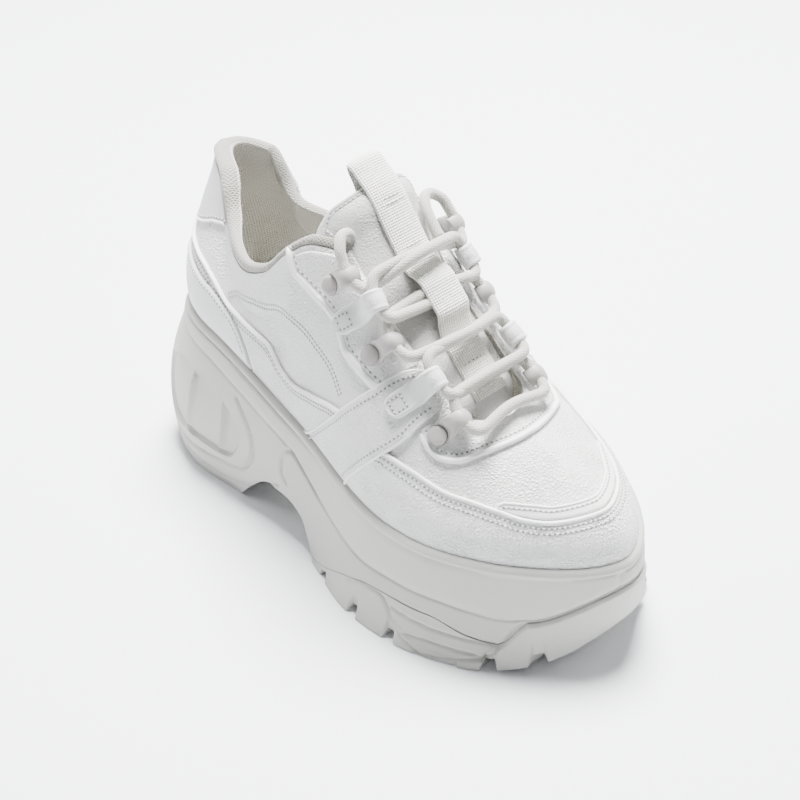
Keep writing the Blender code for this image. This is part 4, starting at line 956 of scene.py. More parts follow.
def sole_relief(turn, height):
    """Height of the moulded lines and panels of the sole's side, in metres outwards."""
    share = along(turn)
    x, z = share * LENGTH, height
    top, low, under, tread = sole_levels(turn)
    out = np.zeros(np.shape(x))
    heel = share < 0.42
    if heel.any():
        a, b = x[heel], z[heel]
        made = panel(a, b, curve_through(WINDOW_LINE, True), 0.0022, 0.0015)
        deep = panel(a, b, curve_through(WINDOW_LINE, True), 1.0, 0.002)
        for line in SLOT_LINES:
            made += groove(a, b, curve_through(line), 0.0032, 0.0026) * deep
        made += groove(a, b, curve_through(WINDOW_RING), 0.0021, 0.0012)
        made += groove(a, b, curve_through(FOOT_LINE), 0.0021, 0.0010)
        out[heel] += made
    middle = (share > 0.36) & (share < 0.56)
    if middle.any():
        a, b = x[middle], z[middle]
        made = sum(groove(a, b, curve_through(line), 0.0020, 0.0013) for line in ARCH_LINES)
        out[middle] += made
    front = (share > 0.56) & (z < low)
    if front.any():
        a, b = x[front], z[front]
        made = panel(a, b, curve_through(TOE_PANEL, True), 0.0005, 0.0016)
        diagonal = curve_through(TOE_DIAGONAL)
        made += groove(a, b, diagonal, 0.0014, 0.0008)
        for line in TOE_LINES:
            made += groove(a, b, curve_through(line), 0.0014, 0.0008)
        ahead = a > np.interp(b, diagonal[:, 1], diagonal[:, 0])
        raised = smooth(distance_to(a, b, diagonal) / 0.0012) * smooth((under[front] - b) / 0.0022)
        made += BUMPER * raised * (ahead & (a > 0.82 * LENGTH))
        out[front] += made
    crease = np.exp(-((height - low) / 0.0010) ** 2)
    out -= 0.0008 * crease * (0.3 + 0.7 * smooth((share - 0.32) / 0.1))
    seam = np.exp(-((share - TOE_SEAM) / 0.0016) ** 2) * (height > low) * (np.asarray(turn) < 0)
    return out - 0.0006 * seam


BAND_ROWS = 10
LOWER_ROWS = 90
SEAM_DEPTH = 0.0004
SOLE_TURNS = 800

# Section of the sole's rim in mm: (out from its top edge, below it)
RIM = ((-3.7, 3.0), (-3.5, -0.1), (-2.9, -0.45), (-2.1, -0.45), (-1.4, -0.25), (-0.7, 0.1),
       (-0.1, 0.7), (0.3, 1.4), (0.5, 2.3), (0.4, 3.1), (0.15, 3.6))
RIM_DEPTH = 0.0040


def dense_turns(count, start=-1.0, end=1.0):
    return start + (end - start) * np.arange(count) / count


def lids(number, closed):
    """Faces that join the left and right points of the first and last ring."""
    columns = number.shape[1]
    across = (columns - np.arange(columns)) % columns if closed else columns - 1 - np.arange(columns)
    faces = []
    for ring, flip in ((number[0], True), (number[-1], False)):
        for k in range(columns // 2):
            face = (ring[k], ring[k + 1], ring[across[k + 1]], ring[across[k]])
            face = tuple(int(p) for i, p in enumerate(face) if p != face[i - 1])
            if len(face) > 2:
                faces.append(face[::-1] if flip else face)
    return faces


def make_midsole(material):
    turns = dense_turns(SOLE_TURNS)
    top, low, under, _ = sole_levels(turns)
    step = SEAM_DEPTH * np.clip((along(turns) - 0.36) / 0.12, 0, 1)
    rows = [sole_line(turns, -LIP, cup_floor(turns))]
    for out, drop in RIM:
        rows.append(sole_line(turns, out / 1000, top - drop / 1000))
    for share in np.linspace(0.06, 1, BAND_ROWS):
        height = top - RIM_DEPTH + (low - top + RIM_DEPTH) * share
        rows.append(sole_wall(turns, height, sole_relief(turns, height)))
    for share in np.linspace(0, 1, LOWER_ROWS + 1)[1:] ** 1.1:
        height = low + (under - low) * share
        inset = step * smooth((share - 0.0) / 0.08)
        rows.append(sole_wall(turns, height, sole_relief(turns, height) - inset))
    rows = np.array(rows)
    faces, corners = grid_faces(len(rows), SOLE_TURNS, wrap_columns=True)
    number = np.arange(rows.shape[0] * SOLE_TURNS).reshape(rows.shape[:2])
    faces = [tuple(int(i) for i in f) for f in faces] + lids(number, True)
    return mesh_piece("midsole_detail", rows.reshape(-1, 3), faces, [material], ("midsole",))


NOTCHES = (0.531, 0.628, 0.709, 0.862, 0.922)
NOTCH_WIDTH = 0.0050
OUTSOLE_TURNS = 760
OUTSOLE_ROWS = 30


def notch_rise(share):
    """Lift of the tread's edge in the channels between the lugs."""
    rise = np.zeros(np.shape(share))
    for at in NOTCHES:
        gap = np.abs(share - at) * LENGTH
        rise = np.maximum(rise, smooth((NOTCH_WIDTH / 2 + 0.0009 - gap) / 0.0018))
    return rise


def make_outsole(material):
    start = turn_of(OUTSOLE_START + 0.002, 1)
    turns = np.linspace(start, 2 - start, OUTSOLE_TURNS)
    share = along(turns)
    _, _, joint, tread = sole_levels(turns)
    lid = joint - CLEARANCE
    rise = notch_rise(share)
    foot = tread + rise * np.minimum(0.0045, (lid - tread) / 2)
    rows = [sole_line(turns, -0.02, lid), sole_wall(turns, lid, -SEAM_DEPTH)]
    for part in np.concatenate(((0.006, 0.018, 0.034, 0.05, 0.07), np.linspace(0.1, 0.97, OUTSOLE_ROWS - 3))):
        height = lid + (foot - lid) * part
        cove = -0.0016 * rise * smooth((part - 0.45) / 0.5)
        rows.append(sole_wall(turns, height, sole_relief(turns, height) + cove))
    rows.append(sole_wall(turns, foot, -EDGE_ROUND - 0.0016 * rise))
    rows = np.array(rows)
    faces, corners = grid_faces(len(rows), OUTSOLE_TURNS)
    number = np.arange(rows.shape[0] * OUTSOLE_TURNS).reshape(rows.shape[:2])
    faces = [tuple(int(i) for i in f) for f in faces] + lids(number, False)
    ends = [tuple(int(i) for i in number[::-1, 0]) + tuple(int(i) for i in number[:, -1])]
    return mesh_piece("outsole_detail", rows.reshape(-1, 3), faces + ends, [material], ("outsole",))


# Upper

CREASES = (
    # side, along, up, half length along, half length up, slant, depth
    (-1, 0.33, 0.60, 0.050, 0.035, 0.9, 0.0010),
    (-1, 0.36, 0.42, 0.045, 0.030, 0.6, 0.0008),
    (-1, 0.62, 0.80, 0.035, 0.030, -0.4, 0.0005),
    (1, 0.33, 0.60, 0.050, 0.035, 0.9, 0.0010),
    (1, 0.38, 0.42, 0.045, 0.030, 0.6, 0.0008),
)


def crease_depth(turn, up):
    """Soft troughs worn into the leather."""
    turn, up = np.broadcast_arrays(np.asarray(turn, float), np.asarray(up, float))
    share = along(turn)
    side = np.where((turn + 1) % 2 - 1 < 0, -1, 1)
    depth = np.zeros(share.shape)
    for which, at, height, long_half, short_half, slant, deep in CREASES:
        a = (share - at) / long_half
        b = (up - height - slant * (share - at)) / short_half
        depth += np.where(side == which, deep * np.exp(-(a * a) - b * b), 0)
    soft = np.sin(share * 23 + up * 5) * np.sin(up * 9 - share * 6)
    return -depth + 0.00022 * soft * smooth(up * 4) * smooth((1 - up) * 4)


def skin(turn, up, out=0.0):
    """Point over the upper's leather, creases included."""
    return upper_form(turn, up, np.asarray(out) + crease_depth(turn, up))


UPPER_TURNS = 420
FOOT_THICK = 0.0011
COLLAR_END = 0.52
LEATHER_EDGE = 0.0011


def make_upper(leather_material, mesh_material, lining_material):
    """Hollow upper: leather outside, then the padded collar of mesh and the lining down to the floor."""
    turns = dense_turns(UPPER_TURNS)
    share = along(turns)
    (line,) = table(COLLAR_LINE, share)
    padded = smooth((COLLAR_END - share) / 0.03)
    line = line * padded + 0.985 * (1 - padded)
    full = table(ROLL, share)[0]
    full = np.where(turns > 0, np.minimum(full, 0.45 + 0.55 * smooth((0.06 - share) / 0.06)), full)
    rows = []
    outside = np.concatenate([[-1.0, -0.3, 0.0], np.linspace(0.03, 0.97, 34)])
    for level in outside:
        up = np.where(level > 0, level * line, level)
        rows.append(skin(turns, up))
    rows.append(skin(turns, line - 0.006, 0.0002))
    rows.append(skin(turns, line, -0.0004))
    leather_rows = len(rows) - 1
    rows.append(skin(turns, line + 0.004 * padded, -0.0006 * padded))
    for part in np.linspace(0.12, 0.90, 9):
        up = line + (0.975 - line) * part * padded
        swell = COLLAR_BULGE * 1.5 * np.sin(np.pi * min(part * 0.62 + 0.05, 1)) * padded * full
        rows.append(upper_form(turns, np.minimum(up, 0.985), swell))
    for angle in np.linspace(0.1, 0.9, 9):
        inside, _ = collar_pad(turns, np.full(UPPER_TURNS, 0.98))
        bulge = COLLAR_BULGE * padded * full
        thick = WALL + COLLAR_PAD * inside * full + bulge
        across = (1 - np.cos(np.pi * angle)) / 2
        up = 0.972 + 0.026 * np.sin(np.pi * angle)
        rows.append(upper_form(turns, np.full(UPPER_TURNS, up), bulge - thick * across))
    for up in (0.95, 0.92, 0.88, 0.84, 0.80, 0.75, 0.70, 0.65, 0.60, 0.55, 0.50, 0.44, 0.38, 0.30, 0.22, 0.14, 0.06, -1.0):
        inside = collar_pad(turns, np.full(UPPER_TURNS, up))[0]
        filled = full + (1 - full) * smooth((0.98 - up) / 0.30)
        rows.append(upper_form(turns, up, -WALL - COLLAR_PAD * inside * filled))
    rows = np.array(rows)
    rim_rows = leather_rows + 14

    def which(row, column):
        throat = share[column] > COLLAR_END
        # Slot 1 is the darker tint for the lit rim and slot 2 the lighter tint for the shaded inside: painted light and
        # shade.
        inner = np.where(row < leather_rows + 18, 1, 2)
        return np.where(row < leather_rows, 0, np.where(throat & (row < rim_rows), 0, inner)).astype(np.int32)

    made = grid_piece("upper_shell", rows, [leather_material, mesh_material, lining_material], ("upper",),
                      wrap_rows=True, wrap_columns=True, flip=True, row_material=which, sharp=70)


def edge_steps(length, radius, inner):
    """Shares of a length that crowd at both ends, where the edge is rounded."""
    near = np.array([0, 0.12, 0.35, 0.7, 1.0]) * radius / length
    near = np.minimum(near, 0.45)
    middle = np.linspace(near[-1], 1 - near[-1], inner)[1:-1]
    return np.concatenate([near, middle, 1 - near[::-1]])


def edge_round(gap, radius):
    t = np.clip(1 - gap / radius, 0, 1)
    return np.sqrt(1 - t * t)


def overlay(name, start, end, side, low, high, material, base=0.0, thick=OVERLAY, rows=12, columns=160,
            bulge=0.0, nodes=None):
    """Panel on the upper with rounded edges; side 0 runs round the heel or the toe."""
    if side:
        ends = turn_of(start, side), turn_of(end, side)
    elif start == 0:
        ends = -turn_of(end, 1), turn_of(end, 1)
    else:
        ends = turn_of(start, 1), 2 - turn_of(start, 1)
    radius = 0.0009
    coarse = np.linspace(ends[0], ends[1], 60)
    middle = skin(coarse, (table(low, along(coarse))[0] + table(high, along(coarse))[0]) / 2)
    length = np.linalg.norm(np.diff(middle, axis=0), axis=1).sum()
    steps = edge_steps(length, radius, columns)
    turns = ends[0] + (ends[1] - ends[0]) * steps
    bottom, top = table(low, along(turns))[0], table(high, along(turns))[0]
    height = np.linalg.norm(skin(turns, top) - skin(turns, bottom), axis=1)
    share = np.array([edge_steps(h, radius, rows) for h in np.maximum(height, 0.002)]).T
    up = bottom + (top - bottom) * share
    gap_up = np.minimum(share, 1 - share) * height
    gap_side = np.minimum(steps, 1 - steps)[None, :] * length
    rise = edge_round(gap_up, radius) * edge_round(gap_side, radius)
    foot = smooth((up + 0.01) / 0.07)
    rise = rise * (foot + (1 - foot) * FOOT_THICK / thick)
    swell = bulge * smooth(gap_up / 0.006) * smooth(gap_side / 0.006)
    grid_turns = turns[None, :] + 0 * up
    front = skin(grid_turns, up, base + thick * rise + swell)
    back = skin(grid_turns, up, base - 0.0002)
    flip = side < 0 or (side == 0)
    return slab_piece(name, front, back, [material], nodes or (name,), flip=ends[1] > ends[0])


# Stitching and piping

def surface_step(turns, ups, distance):
    """Moves a path on the upper sideways by a distance; positive is to the left as seen from outside."""
    step = 0.002
    ways_turn = (upper_point(turns + step, ups) - upper_point(turns - step, ups)) / (2 * step)
    ways_up = (upper_point(turns, ups + step) - upper_point(turns, ups - step)) / (2 * step)
    normal = np.cross(ways_up, ways_turn)
    normal /= np.linalg.norm(normal, axis=1, keepdims=True)
    way = np.gradient(upper_point(turns, ups), axis=0)
    way /= np.linalg.norm(way, axis=1, keepdims=True)
    target = np.cross(normal, way) * distance
    a, b, c = (ways_turn**2).sum(1), (ways_turn * ways_up).sum(1), (ways_up**2).sum(1)
    p, q = (ways_turn * target).sum(1), (ways_up * target).sum(1)
    det = a * c - b * b
    return turns + (p * c - q * b) / det, ups + (q * a - p * b) / det


def path_on(start, end, side, rows, count=240):
    """Turns and ups of a line on the upper from a table of (along, up)."""
    if side:
        turns = np.linspace(turn_of(start, side), turn_of(end, side), count)
    elif start == 0:
        turns = np.linspace(-turn_of(end, 1), turn_of(end, 1), count)
    else:
        turns = np.linspace(turn_of(start, 1), 2 - turn_of(start, 1), count)
    return turns, table(rows, along(turns))[0]


def frames_on(turns, ups, out):
    points = skin(turns, ups, out)
    above = skin(turns, ups, np.asarray(out) + 0.001)
    normals = above - points
    return points, normals / np.linalg.norm(normals, axis=1, keepdims=True)


def resample(points, normals, pitch):
    run = np.concatenate([[0], np.cumsum(np.linalg.norm(np.diff(points, axis=0), axis=1))])
    count = max(int(run[-1] / pitch), 2)
    at = (np.arange(count) + 0.5) * run[-1] / count
    pick = np.stack([np.interp(at, run, points[:, k]) for k in range(3)], 1)
    norm = np.stack([np.interp(at, run, normals[:, k]) for k in range(3)], 1)
    ahead = np.stack([np.interp(at + pitch * 0.3, run, points[:, k]) for k in range(3)], 1)
    behind = np.stack([np.interp(at - pitch * 0.3, run, points[:, k]) for k in range(3)], 1)
    way = ahead - behind
    return pick, norm / np.linalg.norm(norm, axis=1, keepdims=True), way / np.linalg.norm(way, axis=1, keepdims=True)


def bead(length, width, height):
    """Small rounded bar along x, as points and faces."""
    rings = ((-0.5, 0.0), (-0.42, 0.6), (-0.2, 1.0), (0.2, 1.0), (0.42, 0.6), (0.5, 0.0))
    points, faces = [], []
    sides = 6
    for x, r in rings:
        for k in range(sides):
            a = 2 * np.pi * k / sides
            points.append((x * length, r * width / 2 * np.cos(a), r * height / 2 * np.sin(a)))
    for i in range(len(rings) - 1):
        for k in range(sides):
            a, b = i * sides + k, i * sides + (k + 1) % sides
            faces.append((a, a + sides, b + sides, b))
    return np.array(points), faces


class Stitches:
    """Gathers stitches, and the dark beads between them that are painted shade for the dimpled needle punctures, into
    two pieces.
    """

    def __init__(self):
        self.sets = {"thread": ([], []), "holes": ([], [])}

    def put(self, kind, shape, where, normal, way):
        points, faces = self.sets[kind]
        base, quads = shape
        side = np.cross(normal, way)
        for p, n, w, s in zip(where, normal, way, side):
            count = len(points) * len(base)
            points.append(p + base[:, :1] * w + base[:, 1:2] * s + base[:, 2:] * n)
            faces += [tuple(i + count for i in q) for q in quads]

    def row(self, turns, ups, out, pitch=0.0022, width=0.0009):
        points, normals = frames_on(turns, ups, out)
        where, normal, way = resample(points, normals, pitch)
        self.put("thread", bead(pitch * 0.56, width, width * 0.8), where, normal, way)
        # The holes are dark beads set between the stitches: painted shade for the dimples.
        self.put("holes", bead(pitch * 0.60, width * 1.05, 0.00042), where + way * pitch * 0.5, normal, way)

    def line(self, points, normals, pitch=0.0022, width=0.0009):
        where, normal, way = resample(points, normals, pitch)
        self.put("thread", bead(pitch * 0.56, width, width * 0.8), where, normal, way)
        # The holes are dark beads set between the stitches: painted shade for the dimples.
        self.put("holes", bead(pitch * 0.60, width * 1.05, 0.00042), where + way * pitch * 0.5, normal, way)

    def make(self, thread, hole_shade):
        # The holes piece is painted shade, a dark bead in each stitch dimple.
        for kind, material in (("thread", thread), ("holes", hole_shade)):
            points, faces = self.sets[kind]
            mesh_piece(f"stitch_{kind}", np.concatenate(points), faces, [material])


def piping(name, turns, ups, out, width, height, material):
    points, normals = frames_on(turns, ups, out)
    run = np.concatenate([[0], np.cumsum(np.linalg.norm(np.diff(points, axis=0), axis=1))])
    ease = np.sqrt(np.clip(np.minimum(run, run[-1] - run) / width, 0.05, 1))
    return tube_piece(name, points, width * ease, height * ease, material, normals=normals, sides=10)


# Tongue and tape

# Free upper end of the tongue: (along it, lateral and medial reach in mm, drop of their edges in mm)
TONGUE_TOP = ((0.0, 14.0, 14.0, 5.0, 5.0), (0.72, 23.0, 20.0, 10.0, 9.0), (0.82, 27.0, 23.0, 14.5, 12.5),
              (0.90, 29.5, 25.0, 18.5, 15.0), (1.0, 29.5, 25.5, 19.0, 15.5))
TUCK = 0.0016
TUCK_DROP = 0.0034


def throat_side(at, side):
    """Reach and drop that bring the tongue's edge just under the throat's edge."""
    edge = upper_point(turn_of(np.linspace(0.42, 0.97, 140), side), 1.0)
    middle, way, normal = tongue_frame(at)
    shift = table(TONGUE_LINE, at)[4] * COLLAR_SHIFT
    reach, drop = np.zeros(len(at)), np.zeros(len(at))
    for k in range(len(at)):
        gap = edge[:, [0, 2]] - middle[k]
        place = np.argmin(np.abs(gap @ way[k]))
        reach[k] = side * (edge[place, 1] - shift[k]) + TUCK
        drop[k] = -gap[place] @ normal[k] + TUCK_DROP
    return reach, np.clip(drop, 0.003, 0.016)


def tongue_sides(at):
    """Lateral and medial reach of the tongue and the drop of its edges."""
    free = table(TONGUE_TOP, at) / 1000
    share = smooth((at - 0.66) / 0.16)
    sides = []
    for number, side in enumerate((-1, 1)):
        reach, drop = throat_side(at, side)
        keep = np.ones(9) / 9
        reach, drop = [np.convolve(np.pad(v, 4, mode="edge"), keep, mode="valid") for v in (reach, drop)]
        sides.append((reach * (1 - share) + free[number] * share, drop * (1 - share) + free[number + 2] * share))
    return sides


def tongue_skin(at, shares, out):
    """Point of the tongue: shares run from -1 at its lateral edge to 1 at its medial edge."""
    (left, left_drop), (right, right_drop) = tongue_sides(at)
    corner = np.clip((1 - at) / 0.12, 0, 1)
    round_off = 0.62 + 0.38 * np.sqrt(1 - (1 - corner) ** 2)
    shares = np.asarray(shares, float)
    across = np.where(shares < 0, shares * left, shares * right) * round_off
    drop = np.where(shares < 0, left_drop, right_drop) * (shares * round_off) ** 2
    middle, _, normal = tongue_frame(at)
    flat = middle + normal * (np.asarray(out) - drop)[..., None]
    shift = table(TONGUE_LINE, at)[4] * COLLAR_SHIFT
    return np.stack([flat[..., 0], across + shift, flat[..., 1]], -1), np.abs(across)


def make_tongue(leather_material, lining_material, stitches):
    """Padded tongue: crowned front with a bound edge, mesh behind."""
    at = np.concatenate([np.linspace(0, 0.96, 70), 1 - 0.04 * np.linspace(1, 0, 9)[1:] ** 1.5])
    thick = table(TONGUE_LINE, at)[3]
    shares = np.concatenate([[-1.0, -0.992, -0.97], np.linspace(-0.94, 0.94, 45), [0.97, 0.992, 1.0]])
    bare = np.array([tongue_skin(at, np.full(len(at), s), 0.0 * at)[1] for s in shares])
    gap_side = np.where(shares[:, None] < 0, bare[0], bare[-1]) - bare
    gap_top = (1 - at)[None, :] * TONGUE_REACH
    gap = np.minimum(gap_side, np.where(gap_top < 0.02, gap_top, 1))
    edge = edge_round(gap, 0.0022)
    high = smooth((at - 0.78) / 0.1)[None, :]
    pillow = 0.0016 * smooth(gap / 0.012) * high - 0.0007 * np.exp(-((gap - 0.0030) / 0.0008) ** 2) * high
    depth = thick * TONGUE_THICKNESS
    grids = []
    for face in (1, -1):
        out = -depth / 2 + face * depth / 2 * edge + (pillow if face > 0 else 0)
        grids.append(np.array([tongue_skin(at, np.full(len(at), s), out[k])[0] for k, s in enumerate(shares)]))
    grid = np.concatenate([grids[0], grids[1][::-1][1:-1]])
    rows = len(shares)

    def which(row, column):
        return np.where((row >= rows - 1), 1, 0).astype(np.int32)

    made = grid_piece("tongue_padded", grid, [leather_material, lining_material], ("tongue",),
               wrap_rows=True, caps=False, flip=False, row_material=which, sharp=80)
    line_at = np.concatenate([np.linspace(0.80, 0.97, 60), np.full(60, 0.97), np.linspace(0.97, 0.80, 60)])
    inset = 0.90
    line_shares = np.concatenate([np.full(60, -inset), np.linspace(-inset, inset, 60), np.full(60, inset)])
    path = tongue_skin(line_at, line_shares, np.full(180, 0.0006))[0]
    normals = tongue_skin(line_at, line_shares, np.full(180, 0.0016))[0] - path
    normals /= np.linalg.norm(normals, axis=1, keepdims=True)
    stitches.line(path, normals, 0.0022, 0.0007)


RIB_PITCH = 0.00118
RIB_HEIGHT = 0.00032


def make_tape(material, stitches):
    """Webbing with ribs across it, folded into a pull loop over the tongue's top."""
    path = tape_path(760)
    run = np.concatenate([[0], np.cumsum(np.linalg.norm(np.diff(path, axis=0), axis=1))])
    way = np.gradient(path, axis=0)
    way /= np.linalg.norm(way, axis=1, keepdims=True)
    normal = np.stack([way[:, 1], -way[:, 0]], -1)
    middle = table(TONGUE_LINE, [tongue_place(*p) for p in path])[4] * COLLAR_SHIFT
    middle = np.convolve(np.pad(middle, 20, mode="edge"), np.ones(41) / 41, mode="valid")
    shares = np.array([-1, -0.985, -0.93, -0.8, -0.6, -0.3, 0, 0.3, 0.6, 0.8, 0.93, 0.985, 1.0])
    edge = np.sqrt(np.clip(1 - np.abs(shares) ** 14, 0, 1))
    rib = RIB_HEIGHT * (0.5 + 0.5 * np.sin(2 * np.pi * run / RIB_PITCH))
    sag = TONGUE_SAG * (shares * TAPE_WIDTH / TONGUE_WIDTH) ** 2 * 0.55
    grids = []
    for face in (1, -1):
        out = face * (TAPE_THICKNESS / 2 * edge[:, None] + (rib * edge[:, None] - RIB_HEIGHT / 2)) - sag[:, None]
        flat = path[None] + normal[None] * out[..., None]
        y = middle[None] + shares[:, None] * TAPE_WIDTH / 2 + 0 * out
        grids.append(np.stack([flat[..., 0], y, flat[..., 1]], -1))
    grid = np.concatenate([grids[0], grids[1][::-1][1:-1]])
    grid_piece("tape_woven", grid, [material], ("tongue_tape",), wrap_rows=True, sharp=80)
    for place in (0.30, 0.675, 0.70, 0.86, 0.885):
        at = np.full(14, place)
        across = np.linspace(-0.86, 0.86, 14) * TAPE_WIDTH / 2
        (lift,) = table(TAPE_LINE, at)
        over = CLEARANCE + TAPE_THICKNESS + lift * LACE_DIAMETER + 0.0002
        points = tongue_point(at, across, over)
        normals = tongue_point(at, across, over + 0.001) - points
        stitches.line(points, normals / np.linalg.norm(normals, axis=1, keepdims=True), 0.0022, 0.0006)


# Eyelets

# Middle lines of the eyelets' folded sheets in mm: (reach, height); half widths in mm: (reach, half)
HOOK_PROFILE = ((-4.9, 0.45), (-1.0, 0.45), (2.4, 0.5), (4.2, 1.3), (5.6, 3.2), (7.2, 5.6), (9.2, 7.3), (11.6, 7.7),
                (13.8, 6.8), (15.3, 4.2), (15.8, 1.4))
HOOK_WIDTHS = ((-4.9, 4.9), (4.0, 4.9), (7.0, 4.4), (10.0, 4.0), (16.0, 3.9))
HOOK_BOW = 6.2
RIVET = ((0.0, 4.0), (1.2, 4.1), (1.75, 3.9), (2.05, 3.3), (2.2, 1.8), (2.22, 0.0))
LOOP_PROFILE = ((-6.5, 0.85), (-3.0, 0.85), (2.0, 0.85), (7.0, 1.0), (11.0, 2.4), (14.5, 5.0), (17.6, 7.2), (20.6, 7.0),
                (22.6, 4.6), (22.2, 1.6), (19.6, 0.4))
LOOP_WIDTHS = ((-6.5, 5.5), (9.0, 5.6), (15.0, 5.2), (23.0, 4.9))


def local_frame(row, side):
    point, normal, reach, toe = eyelet_frame(row, side)
    return point - normal * SEAT, normal, reach, toe


def hood(name, row, side, profile, widths, thick, material, node, bow=0.0, crown=0.0005, bound=0.0):
    """Folded sheet that rises from the eyelet's rounded foot over the lace."""
    point, normal, reach, toe = local_frame(row, side)
    line = smooth_path(np.array(profile) / 1000, 60)
    way = np.gradient(line, axis=0)
    way /= np.linalg.norm(way, axis=1, keepdims=True)
    above = np.stack([-way[:, 1], way[:, 0]], -1)
    place = line[:, 0] * 1000
    half = np.interp(place, *np.array(widths).T) / 1000
    run = np.concatenate([[0], np.cumsum(np.linalg.norm(np.diff(line, axis=0), axis=1))])
    half = half * np.sqrt(np.clip(1 - (1 - np.clip(run / half[0], 0, 1)) ** 2, 0.01, 1))
    shares = np.concatenate([[-1, -0.985, -0.94], np.linspace(-0.86, 0.86, 13), [0.94, 0.985, 1]])
    across = shares[:, None] * half[None]
    gap = np.minimum((1 - np.abs(shares))[:, None] * half[None], np.minimum(run, run[-1] - run)[None] + 0.0001)
    edge = edge_round(gap, thick / 2)
    droop = -crown * (shares[:, None] ** 2) * smooth((place - 5) / 4)[None]
    rim = bound * np.exp(-((gap - 0.0010) / 0.0006) ** 2)
    back = 0.0 * across
    if bow:
        bent = bow / 1000 - np.sqrt((bow / 1000) ** 2 - across**2)
        back = -bent * (smooth((place - 1.5) / 2) * (1 - smooth((place - 7) / 4)))[None]
    grids = []
    for face in (0.5, -0.5):
        out = face * thick * edge + droop + (rim if face > 0 else 0)
        flat = line[None] + above[None] * out[..., None]
        grids.append(point + reach * (flat[..., :1] + back[..., None]) + normal * flat[..., 1:] + toe * across[..., None])
    slab_piece(name, grids[0], grids[1], [material], (node,), flip=side > 0, sharp=80)
    return point, normal, reach, toe


def make_hook(row, side, word, number, material):
    point, normal, reach, toe = hood(f"hook_{word}_{number}", row, side, HOOK_PROFILE, HOOK_WIDTHS, 0.0013, material,
                                     f"lace_hook_{word}_{number}", HOOK_BOW, 0.0013)
    angle = np.linspace(0, 2 * np.pi, 32, endpoint=False)
    rings = []
    for up, radius in RIVET:
        spoke = np.cos(angle)[:, None] * reach + np.sin(angle)[:, None] * toe * side
        rings.append(point + normal * (up + 0.6) / 1000 + spoke * max(radius, 0.05) / 1000)
    grid_piece(f"rivet_{word}_{number}", rings, [material], wrap_columns=True, caps=True, sharp=50)


def make_loop(row, side, word, number, material, stitches):
    point, normal, reach, toe = hood(f"loop_{word}_{number}", row, side, LOOP_PROFILE, LOOP_WIDTHS, 0.0019, material,
                                     f"lace_loop_{word}_{number}", 0.0, 0.0008, 0.0006)
    corners = np.array([(-3.4, -3.0), (-3.4, 3.0), (2.8, 3.0), (2.8, -3.0), (-3.4, -3.0)]) / 1000
    for a, b in zip(corners[:-1], corners[1:]):
        t = np.linspace(0, 1, 8)[:, None]
        flat = a + (b - a) * t
        points = point + reach * flat[:, :1] + toe * flat[:, 1:] + normal * 0.0019
        stitches.line(points, np.broadcast_to(normal, points.shape), 0.0020, 0.0009)


# Lace

STRAND_ORDER = (
    # eyelet, side, end first met, then each crossing's crown height and shift
    (4, -1, 1), (3, 1, -1), (2, -1, -1), (1, 1, -1), (0, -1, -1), (0, 1, 1), (1, -1, 1), (2, 1, 1), (3, -1, 1),
    (4, 1, 1),
)


def lace_hold(eyelet, side):
    """Middle of the lace's way in an eyelet, its way to the toe and half its length."""
    middle, toe = lace_end(EYELETS[eyelet], side)
    hook = EYELETS[eyelet][0] == "hook"
    middle = middle - eyelet_frame(EYELETS[eyelet], side)[1] * (0.0006 if hook else 0.0015)
    return middle, toe, TUBE_LENGTH / 2 if hook else LOOP_WIDTH / 2


def lace_route():
    """Points of the whole lace from the lateral top hook down to the bar and back up to the medial one."""
    crowns = {}
    for name, start, end, height, shift in STRANDS:
        crowns[(start[:2], end[:2])] = (start, end, height, shift)
    points = []
    previous = None
    order = [(4, -1), (3, 1), (2, -1), (1, 1), (0, -1), (0, 1), (1, -1), (2, 1), (3, -1), (4, 1)]
    for here in order:
        middle, toe, half = lace_hold(*here)
        if previous is None:
            _, end_way = None, None
        for (a, b), (start, end, height, shift) in crowns.items():
            if previous in (a, b) and here in (a, b):
                path = strand_path(start, end, height, shift, 13)
                if (start[0], start[1]) != previous:
                    path = path[::-1]
                points.append(path[1:-1])
        points.append(middle[None])
        previous = here
    return np.concatenate(points)


def make_lace(material):
    route = lace_route()
    run = np.concatenate([[0], np.cumsum(np.linalg.norm(np.diff(route, axis=0), axis=1))])
    dense = smooth_path(route, int(run[-1] / 0.0009))
    keep = np.ones(9) / 9
    eased = np.stack([np.convolve(np.pad(dense[:, k], 4, mode="edge"), keep, mode="valid") for k in range(3)], 1)
    nodes = ("lace_bar", "lace_crossing_1", "lace_crossing_2", "lace_crossing_3", "lace_crossing_4")
    tube_piece("lace", eased, LACE_WIDE, LACE_WIDE, material, nodes, sides=20)


def make_lace_ends(material):
    for word, side, rows in LACE_ENDS:
        middle, toe = lace_end(EYELETS[-1], side)
        start = middle - toe * (TUBE_LENGTH / 2 + LACE_GAP)
        steps = np.array(rows) * LACE_DIAMETER * np.array([1, -side, 1])
        path = smooth_path(np.vstack([start, start + steps]), LACE_END_POINTS * 5)
        full = np.vstack([middle[None], path])
        length = float(np.linalg.norm(np.diff(path, axis=0), axis=1).sum())
        thing = tube_piece(f"lace_tail_{word}", smooth_path(full, 60), LACE_WIDE, LACE_WIDE, material,
                           (f"lace_end_{word}",), sides=20)
        CORDS.append((thing, full, length))


CORDS = []


